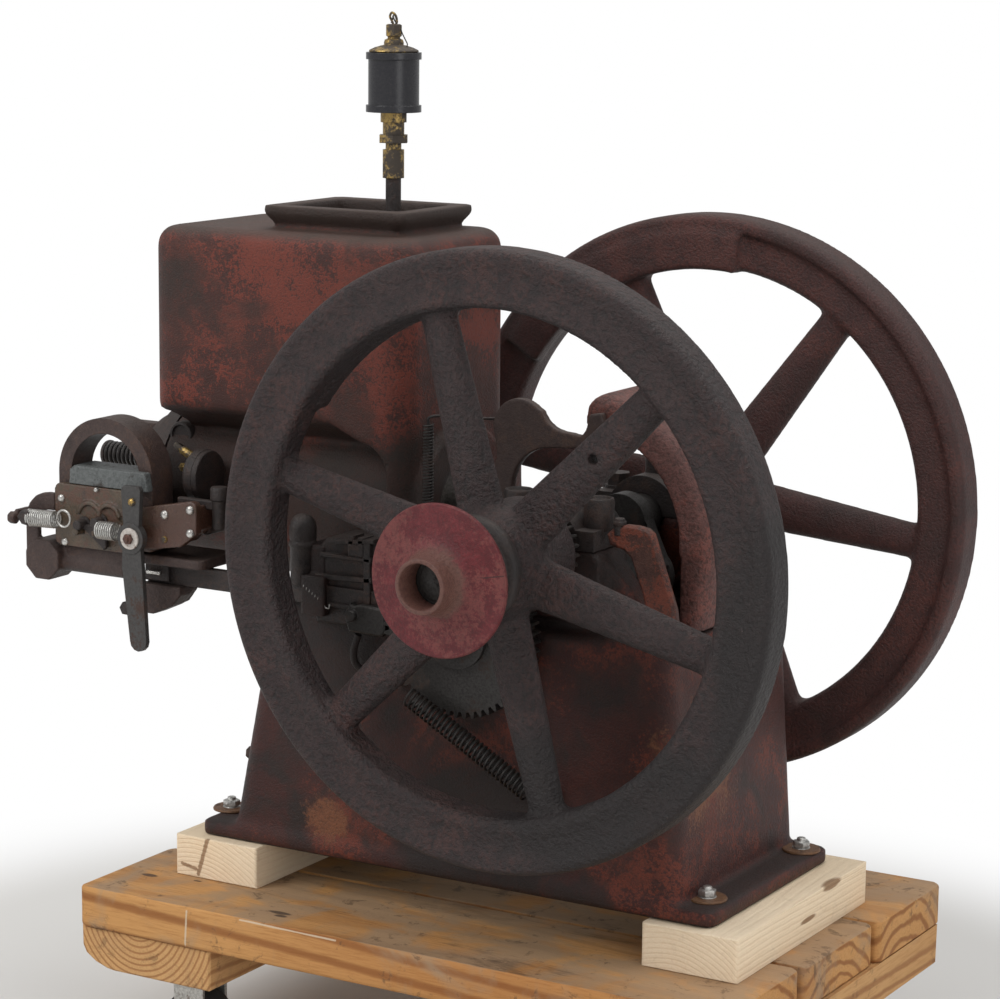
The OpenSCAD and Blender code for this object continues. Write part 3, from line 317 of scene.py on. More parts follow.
paintBase = {
    "patch": 8.5, "grit": 560, "bright": 0.5, "patches": 0.8, "stain": 0.56, "dirty": 0.7, "pits": 0.35,
    "chips": 0.5, "rough": 0.5, "depth": 0.0008, "top": 0.8, "offset": (0, 0, 0), "under": 0.85,
    "sand": 1.0, "lumps": 0.6, "edge": 0.002, "shine": 0.35, "shade": (), "spots": (), "cracks": (),
}
paints = {
    "hopper": {
        "paint": (0.05, 0.015, 0.011), "faded": (0.088, 0.024, 0.016), "warm": (0.19, 0.036, 0.02),
        "dark": (0.02, 0.014, 0.011), "dust": (0.07, 0.047, 0.038), "bare": (0.13, 0.055, 0.028),
        "grit": 620, "bright": 0.49, "patches": 0.75, "stain": 0.52, "dirty": 0.75, "depth": 0.0011,
        "crown": (0.04, 0.026, 0.021), "crownFrom": (551, 556), "belly": (at(0, 0, 568).z, 0.03),
        "shade": (
            ((-210, -80, 320), (120, 60, 62)), ((-150, -50, 330), (50, 90, 60)),
            ((-385, -50, 325), (75, 90, 62)),
        ),
    },
    "bed": {
        "paint": (0.042, 0.01, 0.008), "faded": (0.066, 0.016, 0.011), "warm": (0.165, 0.034, 0.017),
        "dark": (0.015, 0.011, 0.01), "dust": (0.035, 0.026, 0.023), "bare": (0.2, 0.075, 0.032),
        "bright": 0.52, "stain": 0.5, "dirty": 0.85, "pits": 0.4, "depth": 0.0012,
        "offset": (3.1, 1.7, 0.4),
        "spots": (((-215, -114, 34), (26, 30, 24)), ((118, -60, 120), (30, 60, 60))),
        "shade": (
            ((-215, -110, 265), (110, 60, 70)), ((-225, -114, 195), (75, 50, 55)),
            ((10, -90, 300), (70, 60, 70)), ((-60, -114, 40), (90, 40, 75)),
            ((-40, -60, 232), (120, 120, 16)),
        ),
    },
    "rib": {
        "paint": (0.066, 0.026, 0.02), "faded": (0.098, 0.045, 0.034), "warm": (0.2, 0.05, 0.028),
        "dark": (0.03, 0.018, 0.015), "dust": (0.085, 0.055, 0.045), "bare": (0.15, 0.09, 0.06),
        "patch": 24.0, "bright": 0.44, "patches": 0.85, "stain": 0.6, "chips": 0.6, "depth": 0.001,
        "top": 0.6, "under": 0.3, "offset": (2.1, 3.7, 1.4),
    },
    # the hood's pale pinkish paint and bright patches are partly its paint colour and partly painted sheen
    "hood": {
        "paint": (0.105, 0.045, 0.038), "faded": (0.155, 0.068, 0.058), "warm": (0.19, 0.062, 0.047),
        "dark": (0.03, 0.017, 0.015), "dust": (0.12, 0.07, 0.06), "bare": (0.22, 0.12, 0.09),
        "patch": 14.0, "grit": 300, "dirty": 0.6, "pits": 0.6, "chips": 0.6, "rough": 0.55,
        "depth": 0.0018, "top": 0.3, "offset": (5.3, 0.2, 1.1),
    },
    "nearWheel": {
        "paint": (0.027, 0.015, 0.015), "faded": (0.039, 0.023, 0.022), "warm": (0.06, 0.025, 0.021),
        "dark": (0.014, 0.011, 0.011), "dust": (0.052, 0.034, 0.03), "bare": (0.15, 0.11, 0.1),
        "patch": 9.0, "grit": 210, "bright": 0.54, "patches": 0.6, "dirty": 0.4, "pits": 0.75,
        "chips": 0.45, "rough": 0.55, "depth": 0.0032, "top": 0.35, "under": 0.75, "shine": 0.4,
        "lumps": 0.2, "shade": (((150, -195, 110), (170, 60, 80)), ((250, -195, 230), (50, 60, 150))),
        "offset": (1.3, 4.2, 2.1), "sand": 1.5,
    },
    "farWheel": {
        "paint": (0.045, 0.017, 0.015), "faded": (0.062, 0.024, 0.021), "warm": (0.086, 0.027, 0.021),
        "dark": (0.017, 0.012, 0.011), "dust": (0.056, 0.034, 0.029), "bare": (0.13, 0.07, 0.05),
        "patch": 9.0, "grit": 420, "bright": 0.52, "patches": 0.7, "stain": 0.54, "dirty": 0.6,
        "pits": 0.45, "chips": 0.2, "rough": 0.55, "depth": 0.0014, "top": 0.6, "under": 0.6,
        "offset": (7.3, 2.2, 0.1),
    },
    "pulley": {
        "paint": (0.088, 0.012, 0.015), "faded": (0.142, 0.021, 0.025), "warm": (0.16, 0.046, 0.04),
        "dark": (0.04, 0.016, 0.015), "dust": (0.12, 0.05, 0.045), "bare": (0.125, 0.067, 0.05),
        "patch": 19.0, "grit": 420, "patches": 0.75, "stain": 0.58, "dirty": 0.5, "chips": 0.7,
        "rough": 0.45, "depth": 0.0009, "top": 0.2, "under": 0.2, "edge": 0.0012,
        "offset": (2.9, 0.7, 5.1), "core": 0.031, "shine": 0.3,
        "cracks": (((25, -282, 311), (44, -282, 312), 0.8), ((44, -282, 312), (60, -281, 315), 0.7)),
    },
    "iron": {
        "paint": (0.026, 0.02, 0.019), "faded": (0.04, 0.029, 0.026), "warm": (0.06, 0.034, 0.026),
        "dark": (0.012, 0.01, 0.01), "dust": (0.06, 0.046, 0.04), "bare": (0.11, 0.075, 0.055),
        "patch": 20.0, "grit": 600, "bright": 0.52, "patches": 0.7, "stain": 0.53, "pits": 0.4,
        "chips": 0.3, "rough": 0.45, "top": 0.5, "edge": 0.0012, "offset": (0.4, 6.0, 3.3),
    },
    "rust": {
        "paint": (0.05, 0.031, 0.027), "faded": (0.066, 0.042, 0.036), "warm": (0.09, 0.048, 0.033),
        "dark": (0.02, 0.014, 0.013), "dust": (0.075, 0.056, 0.048), "bare": (0.15, 0.09, 0.06),
        "patch": 20.0, "grit": 520, "bright": 0.54, "patches": 0.6, "dirty": 0.6, "chips": 0.3,
        "rough": 0.52, "top": 0.5, "edge": 0.0012, "offset": (6.4, 1.0, 1.3),
    },
    "bronze": {
        "paint": (0.058, 0.038, 0.021), "faded": (0.098, 0.066, 0.036), "warm": (0.085, 0.032, 0.017),
        "dark": (0.018, 0.013, 0.011), "dust": (0.06, 0.045, 0.032), "bare": (0.07, 0.027, 0.017),
        "patch": 30.0, "grit": 620, "patches": 0.85, "stain": 0.55, "dirty": 0.75, "pits": 0.3,
        "chips": 0.2, "rough": 0.36, "depth": 0.0006, "top": 0.4, "edge": 0.0009,
        "offset": (1.4, 3.0, 7.3), "shine": 0.6, "spots": (((-350, -140, 290), (52, 60, 50)),),
    },
    "rustRed": {
        "paint": (0.06, 0.022, 0.015), "faded": (0.085, 0.034, 0.022), "warm": (0.125, 0.042, 0.021),
        "dark": (0.019, 0.013, 0.011), "dust": (0.08, 0.05, 0.04), "bare": (0.16, 0.09, 0.05),
        "patch": 26.0, "chips": 0.4, "rough": 0.42, "depth": 0.0006, "top": 0.3, "edge": 0.001,
        "offset": (3.4, 5.0, 2.3), "shine": 0.5,
    },
}
metals = {
    "steel": {
        "metal": (0.22, 0.205, 0.19), "dull": (0.11, 0.1, 0.09), "rust": (0.055, 0.034, 0.026),
        "patch": 40, "cover": 0.54, "rough": 0.38, "metallic": 0.7,
    },
    "bright": {
        "metal": (0.62, 0.61, 0.58), "dull": (0.36, 0.34, 0.32), "rust": (0.2, 0.13, 0.09), "patch": 90,
        "cover": 0.66, "rough": 0.28, "metallic": 0.85, "depth": 0.0002, "edge": 0.0005,
    },
    "paleWasher": {
        "metal": (0.56, 0.52, 0.48), "dull": (0.42, 0.37, 0.33), "rust": (0.16, 0.09, 0.055),
        "patch": 150, "cover": 0.58, "rough": 0.55, "metallic": 0.1, "depth": 0.0003,
    },
    "leverSteel": {
        "metal": (0.055, 0.052, 0.05), "dull": (0.038, 0.036, 0.035), "rust": (0.052, 0.03, 0.023),
        "patch": 30, "cover": 0.55, "rough": 0.5, "metallic": 0.2, "depth": 0.0004,
    },
    "darkSteel": {
        "metal": (0.05, 0.046, 0.043), "dull": (0.026, 0.023, 0.022), "rust": (0.042, 0.025, 0.018),
        "patch": 36, "cover": 0.55, "rough": 0.42, "metallic": 0.5,
    },
    "zinc": {
        "metal": (0.62, 0.61, 0.58), "dull": (0.38, 0.37, 0.35), "rust": (0.14, 0.075, 0.045),
        "patch": 60, "cover": 0.63, "rough": 0.32, "metallic": 0.85,
    },
    "brass": {
        "metal": (0.5, 0.33, 0.1), "dull": (0.25, 0.15, 0.05), "rust": (0.042, 0.031, 0.023), "patch": 95,
        "cover": 0.45, "rough": 0.28, "metallic": 0.85,
    },
    "fitting": {
        "metal": (0.44, 0.3, 0.1), "dull": (0.17, 0.115, 0.055), "rust": (0.048, 0.036, 0.026),
        "patch": 48, "cover": 0.42, "rough": 0.32, "metallic": 0.75,
    },
    "castGrey": {
        "metal": (0.12, 0.128, 0.126), "dull": (0.072, 0.078, 0.077), "rust": (0.045, 0.04, 0.036),
        "patch": 45, "cover": 0.56, "rough": 0.55, "metallic": 0.1, "depth": 0.0008,
    },
    "blackCup": {
        "metal": (0.016, 0.016, 0.02), "dull": (0.024, 0.023, 0.026), "rust": (0.05, 0.038, 0.028),
        "patch": 50, "cover": 0.7, "rough": 0.22, "metallic": 0.0, "depth": 0.0001,
    },
    "rustWasher": {
        "metal": (0.19, 0.095, 0.045), "dull": (0.105, 0.052, 0.027), "rust": (0.045, 0.027, 0.02),
        "patch": 60, "cover": 0.58, "rough": 0.55, "metallic": 0.2,
    },
    "rubber": {
        "metal": (0.022, 0.022, 0.022), "dull": (0.035, 0.034, 0.033), "rust": (0.09, 0.08, 0.07),
        "patch": 40, "cover": 0.6, "rough": 0.7, "metallic": 0.0,
    },
}


def planks(net, x, y, z):
    low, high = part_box("deck_planks")
    share = (y - low.y) / (high.y - low.y) * 3.0
    number = net.sum("FLOOR", share)
    return number, (number + 0.5) * ((high.y - low.y) / 3) + low.y


def pair(left, right):
    def board(net, x, y, z):
        number = net.sum("GREATER_THAN", x, at(-100, 0, 0).x)
        return number, number * (at(right, 0, 0).x - at(left, 0, 0).x) + at(left, 0, 0).x
    return board


woods = {
    "deck": {
        "along": 0, "board": planks, "early": (0.58, 0.305, 0.11), "late": (0.235, 0.08, 0.022),
        "amber": (0.43, 0.19, 0.06), "grey": (0.35, 0.245, 0.155), "dark": (0.085, 0.05, 0.03),
        "knot": (0.06, 0.038, 0.028), "fresh": (0.62, 0.5, 0.36), "rings": 430.0, "sway": 0.04,
        "lean": 0.05, "pith": (0.012, 0.035), "level": at(0, 0, -76).z, "grain": 0.75, "weather": 0.75,
        "dirt": 0.6, "smear": 0.6,
        "knots": (
            ((-228, -171, -38), (13, 4, 8)), ((-222, -178, -38), (7, 3, 8)),
            ((-390, -144, -38), (9, 4, 6)), ((-343, -135, -38), (5, 2, 6)),
        ),
        "streaks": (
            ((-307, -201, -42), (-309, -201, -76), 1.0, "fresh"),
            ((-250, -201, -40), (-150, -201, -41), 0.9, "fresh"),
        ),
    },
    "bearer": {
        "along": 1, "board": pair(-360, 160), "early": (0.62, 0.36, 0.155), "late": (0.3, 0.125, 0.045),
        "amber": (0.52, 0.27, 0.1), "grey": (0.36, 0.22, 0.12), "dark": (0.08, 0.045, 0.025),
        "rings": 1150.0, "sway": 0.01, "lean": 0.03, "pith": (0.004, -0.052), "level": at(0, 0, -114).z,
        "grain": 0.7, "weather": 0.3, "dirt": 0.4, "smear": 0.0,
    },
    "pale": {
        "along": 1, "board": pair(-329, 150), "early": (0.91, 0.77, 0.58), "late": (0.78, 0.58, 0.38),
        "amber": (0.88, 0.7, 0.48), "grey": (0.8, 0.66, 0.48), "dark": (0.3, 0.18, 0.09),
        "knot": (0.24, 0.125, 0.055), "rings": 1500.0, "sway": 0.012, "lean": 0.02, "pith": (0.02, 0.06),
        "level": at(0, 0, -38).z, "grain": 0.2, "weather": 0.25, "dirt": 0.12, "smear": 0.1,
        "knots": (((195, 58, -2), (8, 20, 4)), ((195, 10, -20), (8, 16, 2.5))),
        "streaks": (
            ((-337, -127, 2), (-348, -127, -34), 2.2, "knot"),
            ((-366, -127, -27), (-350, -127, -30), 1.8, "knot"),
        ),
    },
}
finishes = {}
for maker, looks in ((oldPaint, paints), (bareMetal, metals), (timber, woods)):
    for key, look in looks.items():
        finishes[key] = maker(key, look)
print("stage: finishes", len(finishes))

dressing = {
    "deck_planks": "deck", "bearers": "bearer", "casters": "zinc", "caster_wheels": "rubber",
    "mount_blocks": "pale", "bed": "bed", "hopper": "hopper", "cylinder_head": "iron",
    "near_bearing_cap": "iron", "far_bearing_cap": "iron", "crank_guard": "hood", "guard_bracket": "rust",
    "piston": "steel", "cam_stud": "steel", "push_rod": "iron", "rod_guide": "bed",
    "trip_spring": "darkSteel", "magneto_bracket": "rust", "magneto_body": "bronze",
    "magneto_cover": "castGrey", "magneto_magnet": "rust", "magneto_springs": "zinc",
    "rocker_arm": "rust", "valve_springs": "darkSteel", "priming_cup": "fitting", "oiler_pipe": "iron",
    "oiler_sight": "fitting", "oiler_cup": "blackCup", "oiler_cap": "fitting", "crankshaft": "darkSteel",
    "near_flywheel": "nearWheel", "far_flywheel": "farWheel", "belt_pulley": "pulley",
    "crank_gear": "darkSteel", "big_end": "iron", "cam_gear": "darkSteel", "hand_lever": "leverSteel",
}
for node, key in dressing.items():
    thing = frame["nodes"][node]
    for place in thing.material_slots:
        place.material = finishes[key]
    if not thing.material_slots:
        thing.data.materials.append(finishes[key])
print("stage: solids dressed", len(dressing))


# Mesh helpers

def piece(name, verts, faces, key, body):
    mesh = bpy.data.meshes.new(name)
    mesh.from_pydata([tuple(v) for v in verts], [], faces)
    mesh.validate()
    mesh.update()
    mesh.shade_smooth()
    mesh.set_sharp_from_angle(angle=math.radians(38))
    thing = bpy.data.objects.new(name, mesh)
    bpy.context.scene.collection.objects.link(thing)
    mesh.materials.append(finishes[key])
    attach(thing, body)
    return thing


class Form:
    # gathers several closed shells into one piece
    def __init__(self):
        self.verts = []
        self.faces = []

    def join(self, verts, faces):
        base = len(self.verts)
        self.verts += [Vector(v) for v in verts]
        self.faces += [[base + i for i in f] for f in faces]

    def loft(self, rings, flip=False):
        # a closed skin over rings of equally many points
        count, last = len(rings[0]), len(rings) - 1
        faces = [list(range(count))[::-1], [last * count + k for k in range(count)]]
        for i in range(last):
            for k in range(count):
                n = (k + 1) % count
                faces.append([i * count + k, i * count + n, (i + 1) * count + n, (i + 1) * count + k])
        self.join([v for ring in rings for v in ring], [f[::-1] for f in faces] if flip else faces)

    def sweep(self, path, radius, sides):
        # round section carried along a path, with flat ends
        rings = []
        ahead = (path[1] - path[0]).normalized()
        side = ahead.orthogonal().normalized()
        for i, point in enumerate(path):
            a = path[max(i - 1, 0)]
            b = path[min(i + 1, len(path) - 1)]
            along = (b - a).normalized()
            side = (side - along * side.dot(along)).normalized()
            other = along.cross(side)
            turns = [2 * math.pi * k / sides for k in range(sides)]
            rings.append([point + side * (radius * math.cos(t)) + other * (radius * math.sin(t))
                          for t in turns])
        self.loft(rings)

    def turn(self, origin, axis, outline, sides=32, phase=0.0, ring=False):
        # outline of (radius, height) pairs turned about an axis; a ring's outline closes on itself
        axis = axis.normalized()
        side = axis.orthogonal().normalized()
        other = axis.cross(side)
        verts, faces = [], []
        rows = []
        for r, h in outline:
            if r < 1e-7:
                rows.append([len(verts)])
                verts.append(origin + axis * h)
                continue
            rows.append(list(range(len(verts), len(verts) + sides)))
            for k in range(sides):
                t = 2 * math.pi * k / sides + phase
                verts.append(origin + axis * h + side * (r * math.cos(t)) + other * (r * math.sin(t)))
        for low, high in zip(rows, rows[1:] + rows[:1] if ring else rows[1:]):
            for k in range(sides):
                n = (k + 1) % sides
                if len(low) == 1 and len(high) == 1:
                    continue
                if len(low) == 1:
                    faces.append([low[0], high[n], high[k]])
                elif len(high) == 1:
                    faces.append([low[k], low[n], high[0]])
                else:
                    faces.append([low[k], low[n], high[n], high[k]])
        if len(rows[0]) > 1 and not ring:
            faces.append(rows[0][::-1])
        if len(rows[-1]) > 1 and not ring:
            faces.append(rows[-1])
        self.join(verts, faces)

    def post(self, spot, axis, outline, sides=28, ring=False):
        # a turned shape placed and sized in millimetres
        self.turn(at(*spot), Vector(axis), [(r / 1000, h / 1000) for r, h in outline], sides, 0.0, ring)

    def plate(self, outline, near, far, ease):
        # an outline in x and z, in millimetres, carried from one y to another, with its edges eased
        area = sum(a[0] * b[1] - b[0] * a[1] for a, b in zip(outline, outline[1:] + outline[:1]))
        points = list(outline) if area > 0 else list(outline)[::-1]
        inner = []
        for i, (x, z) in enumerate(points):
            u = Vector((x - points[i - 1][0], z - points[i - 1][1])).normalized()
            following = points[(i + 1) % len(points)]
            w = Vector((following[0] - x, following[1] - z)).normalized()
            by = ease / max(1 + u.dot(w), 0.35)
            inner.append((x - (u.y + w.y) * by, z + (u.x + w.x) * by))
        rings = [(inner, near), (points, near + ease), (points, far - ease), (inner, far)]
        self.loft([[at(x, y, z) for x, z in ring] for ring, y in rings], True)

    def rod(self, points, radius, sides=10, steps=6):
        # a bent rod or wire through points in millimetres
        spots = [at(*p) for p in points]
        spots = [spots[0] * 2 - spots[1]] + spots + [spots[-1] * 2 - spots[-2]]
        path = []
        for a, b, c, d in zip(spots, spots[1:], spots[2:], spots[3:]):
            for i in range(steps):
                t = i / steps
                path.append(b + (c - a) * (t / 2) + (a * 2 - b * 5 + c * 4 - d) * (t * t / 2)
                            + (b * 3 - a - c * 3 + d) * (t ** 3 / 2))
        self.sweep(path + [spots[-2]], radius / 1000, sides)

    def nut(self, origin, axis, across, tall, phase):
        # six-sided nut with its corners rounded off above and below
        r = across / 2 / math.cos(math.pi / 6)
        c = across * 0.06
        self.turn(origin, axis, [(across / 2 * 0.94, 0), (r, c), (r, tall - c), (across / 2 * 0.90, tall)],
                  6, phase)

    def bolt(self, origin, axis, across, tall, stem, washer, phase):
        # washer, nut and the end of the stem that stands out of it
        base = washer * 0.12
        w = washer
        self.turn(origin, axis, [(w, 0), (w * 1.02, w * 0.05), (w * 0.98, base), (0, base)], 28)
        self.nut(origin + axis * base, axis, across, tall, phase)
        r = across * 0.29
        top = base + tall
        self.turn(origin, axis, [(r, top - 0.0005), (r, top + stem * 0.8), (r * 0.8, top + stem),
                                 (0, top + stem)], 20)

    def make(self, name, key, body, slotName):
        return piece(name, self.verts, self.faces, key, body)


def coilPath(start, end, radius, turns, steps=14):
    # a helix of even turns between two points
    axis = (end - start).normalized()
    side = axis.orthogonal().normalized()
    other = axis.cross(side)
    path = []
    for i in range(int(turns * steps) + 1):
        t = i / (turns * steps)
        a = 2 * math.pi * turns * t
        path.append(start + (end - start) * t
                    + side * (radius * math.cos(a)) + other * (radius * math.sin(a)))
    return path


def arc(x, z, radius, start, end, steps):
    turns = [math.radians(start + (end - start) * i / steps) for i in range(steps + 1)]
    return [(x + radius * math.cos(t), z + radius * math.sin(t)) for t in turns]


# Castings lose their sharp edges: a fine voxel skin, then rounds of smoothing

softCasts = {
    "near_flywheel": (0.0026, 5), "far_flywheel": (0.0028, 5), "bed": (0.0034, 4), "hopper": (0.003, 5),
    "crank_guard": (0.0022, 4), "guard_bracket": (0.0014, 4), "magneto_bracket": (0.0013, 3),
    "magneto_body": (0.0011, 2), "magneto_cover": (0.001, 3), "rod_guide": (0.0014, 3),
    "rocker_arm": (0.001, 3),
}


def softenCasts():
    for node, (voxel, rounds) in softCasts.items():
        thing = frame["nodes"][node]
        skin = thing.modifiers.new("skin", "REMESH")
        skin.mode = "VOXEL"
        skin.voxel_size = voxel
        skin.use_smooth_shade = True
        ease = thing.modifiers.new("ease", "SMOOTH")
        ease.factor = 0.5
        ease.iterations = rounds


boardEdges = {"deck_planks": 0.006, "mount_blocks": 0.0022}


def easeBoards():
    for node, width in boardEdges.items():
        thing = frame["nodes"][node]
        thing.modifiers.new("join", "WELD").merge_threshold = 0.00002
        arris = thing.modifiers.new("arris", "BEVEL")
        arris.width = width
        arris.segments = 3
        arris.limit_method = "ANGLE"
        arris.angle_limit = math.radians(40)
        arris.harden_normals = True


softenCasts()
easeBoards()
print("stage: soft edges")

# Springs, wound from their end points; lengths in millimetres

springs = {
    "trip": {"from": (-110, -148, 168), "to": (9, -148, 101), "radius": 7.8, "wire": 1.15, "turns": 30},
    "left": {
        "from": (-510, -159, 283), "to": (-480, -159, 284), "radius": 7.4, "wire": 0.85, "turns": 13,
    },
    "right": {
        "from": (-431, -159, 280), "to": (-412, -159, 280), "radius": 7.6, "wire": 0.85, "turns": 8,
    },
    "near": {"from": (-486, -22, 322), "to": (-526, -22, 322), "radius": 10.2, "wire": 1.9, "turns": 8},
    "far": {"from": (-486, 22, 322), "to": (-526, 22, 322), "radius": 10.2, "wire": 1.9, "turns": 8},
    "governor": {
        "from": (-230, -130, 248), "to": (-212, -130, 237), "radius": 2.0, "wire": 0.4, "turns": 6,
    },
    "tall": {"from": (-125, -95, 320), "to": (-125, -95, 394), "radius": 4.0, "wire": 0.9, "turns": 28},
}


def springForm(names):
    form = Form()
    for name in names:
        s = springs[name]
        path = coilPath(at(*s["from"]), at(*s["to"]), s["radius"] / 1000, s["turns"])
        form.sweep(path, s["wire"] / 1000, 6)
    return form


tripCoil = springForm(["trip"])
magnetoCoils = springForm(["left", "right"])
valveCoils = springForm(["near", "far"])
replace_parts(tripCoil.make("trip_coil", "darkSteel", "frame", "dark_steel"), "trip_spring")
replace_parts(magnetoCoils.make("magneto_coils", "zinc", "frame", "bare_steel"), "magneto_springs")
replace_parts(valveCoils.make("valve_coils", "darkSteel", "frame", "dark_steel"), "valve_springs")
print("stage: springs")

# Screws, bolts and washers, each in millimetres with the face it sits on

towardsUs = Vector((0, -1, 0))
inwards = Vector((0, 1, 0))
upwards = Vector((0, 0, 1))
endways = Vector((1, 0, 0))
footBolts = {
    "places": ((143.5, -81), (150, 90), (-349, -73), (-347, 84)), "seat": 14, "washer": 17,
    "across": 13.5, "tall": 6, "stem": 2.5, "turned": 0.4,
}
magnetoScrews = {
    "plate": {"places": ((-480, 302.5), (-476.6, 262.8)), "seat": -150, "radius": 3.6},
    "housing": {"places": ((-364.8, 299), (-337, 306), (-337, 285)), "seat": -149.5, "radius": 4.0},
}
leverBolt = {
    "screw": (-390, -164, 310), "screwRadius": 3.6, "hub": (-392, -165, 277),
    "washer": ((9.5, -0.4), (9.8, 0.6), (9.5, 1.6), (0, 1.6)), "stem": ((2.4, 0), (2.4, 2.2), (0, 2.4)),
}


def dome(form, spot, radius):
    # the head of a round screw that faces the camera's side
    r = radius
    form.post(spot, towardsUs, ((r, -0.4), (r, r * 0.25), (r * 0.86, r * 0.55), (r * 0.5, r * 0.75),
                                (0, r * 0.8)), 20)


def screws():
    form, brass = Form(), Form()
    for group in magnetoScrews.values():
        for x, z in group["places"]:
            dome(form, (x, group["seat"], z), group["radius"])
    form.make("magneto_screws", "bright", "frame", "bare_steel")
    dome(brass, leverBolt["screw"], leverBolt["screwRadius"])
    brass.make("lever_screw", "brass", "lever", "old_brass")


def footFixings():
    rings, heads = Form(), Form()
    f = footBolts
    w = f["washer"]
    for i, (x, y) in enumerate(f["places"]):
        spot = at(x, y, f["seat"])
        rings.post((x, y, f["seat"]), upwards, ((w, 0), (w * 1.01, 1), (w * 0.97, 2.2), (0, 2.2)), 32)
        heads.bolt(spot + upwards * 0.002, upwards, f["across"] / 1000, f["tall"] / 1000, f["stem"] / 1000,
                   f["across"] / 1700, f["turned"] * i)
    rings.make("foot_washers", "rustWasher", "frame", "rusty_iron")
    heads.make("foot_bolts", "zinc", "frame", "bare_steel")


def leverFixings():
    ring, head = Form(), Form()
    x, y, z = leverBolt["hub"]
    ring.post((x, y, z), towardsUs, leverBolt["washer"], 36)
    ring.make("lever_washer", "paleWasher", "frame", "bare_steel")
    head.nut(at(x, y - 1.5, z), towardsUs, 0.0085, 0.0035, 0.3)
    head.post((x, y - 4.5, z), towardsUs, leverBolt["stem"], 16)
    head.make("lever_nut", "rustRed", "frame", "rusty_iron")


screws()
footFixings()
leverFixings()
print("stage: fixings")

# Belt pulley: a thin red disc on a long boss, with a dark barrel behind it

belt = {
    "centre": (0, 0, 304), "sides": 96,
    "disc": (
        (19.3, 276.5), (60.5, 276.5), (62.3, 277.6), (62.5, 279.8), (61.4, 281.3), (46, 282.1),
        (35, 283.4), (28.5, 286), (25, 290.5), (23.3, 297), (22.8, 306), (22.3, 308.3), (21, 309),
        (19.2, 308.8), (18.4, 307.6), (18.3, 284), (19.3, 283.4),
    ),
    "barrel": (
        (19.5, 226), (43.5, 226), (45.4, 227.4), (46, 231), (45.6, 235), (43.6, 237.4), (39.4, 238.6),
        (38, 241), (38, 276), (19.5, 276),
    ), "shaftEnd": (0, -283, 304),
    "shaftFace": ((15.8, -0.4), (15.4, 0.9), (5.2, 1.1), (3.0, 0.1), (0, -0.3)),
}


def pulley():
    face, back, tip = Form(), Form(), Form()
    face.post(belt["centre"], towardsUs, belt["disc"], belt["sides"], True)
    back.post(belt["centre"], towardsUs, belt["barrel"], belt["sides"], True)
    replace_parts(face.make("pulley_disc", "pulley", "crank", "pulley_paint"), "belt_pulley")
    back.make("pulley_barrel", "iron", "crank", "wheel_iron")
    tip.post(belt["shaftEnd"], towardsUs, belt["shaftFace"], 48)
    tip.make("shaft_end", "darkSteel", "crank", "bare_steel")


# Bearing side: orange web rib, nut caps, a lug and a plug

bearing = {
    "rib": (
        (52, 318), (60, 325), (70, 327.5), (81, 327.5), (90, 326), (95, 322), (106, 292), (117, 261),
        (119.5, 244), (118, 229), (99, 229), (86, 271), (75, 300), (68, 306), (55, 309),
    ), "ribDepth": (-100, -91),
    "cap": (
        (12.4, 319), (13, 321), (13, 343.5), (12.2, 345.6), (11, 346), (9.7, 345.2), (9.0, 343.6),
        (5.4, 343.2), (5.2, 341), (0, 341),
    ), "capSpots": ((38.5, -88, 0), (-38.5, -88, 0)), "lug": ((5, 0), (5, 12), (4.2, 14), (0, 14.4)),
    "lugSpot": (62.5, -96, 318), "lugNut": (62.5, -96, 326), "plug": ((9, 0), (9, 3), (8, 4.2), (0, 4.6)),
    "plugSpot": (-12, -112, 290),
}


def bearingSide():
    web, dark = Form(), Form()
    web.plate(bearing["rib"], *bearing["ribDepth"], 2.2)
    web.make("bearing_web", "rib", "frame", "red_paint")
    for spot in bearing["capSpots"]:
        dark.post(spot, upwards, bearing["cap"], 36)
    dark.post(bearing["lugSpot"], upwards, bearing["lug"], 20)
    dark.nut(at(*bearing["lugNut"]), upwards, 0.011, 0.004, 0.3)
    dark.post(bearing["plugSpot"], towardsUs, bearing["plug"], 28)
    dark.make("bearing_nuts", "iron", "frame", "dark_iron")


# Governor side, left of the wheel's hub: black bowl, rails, casting, a small spring

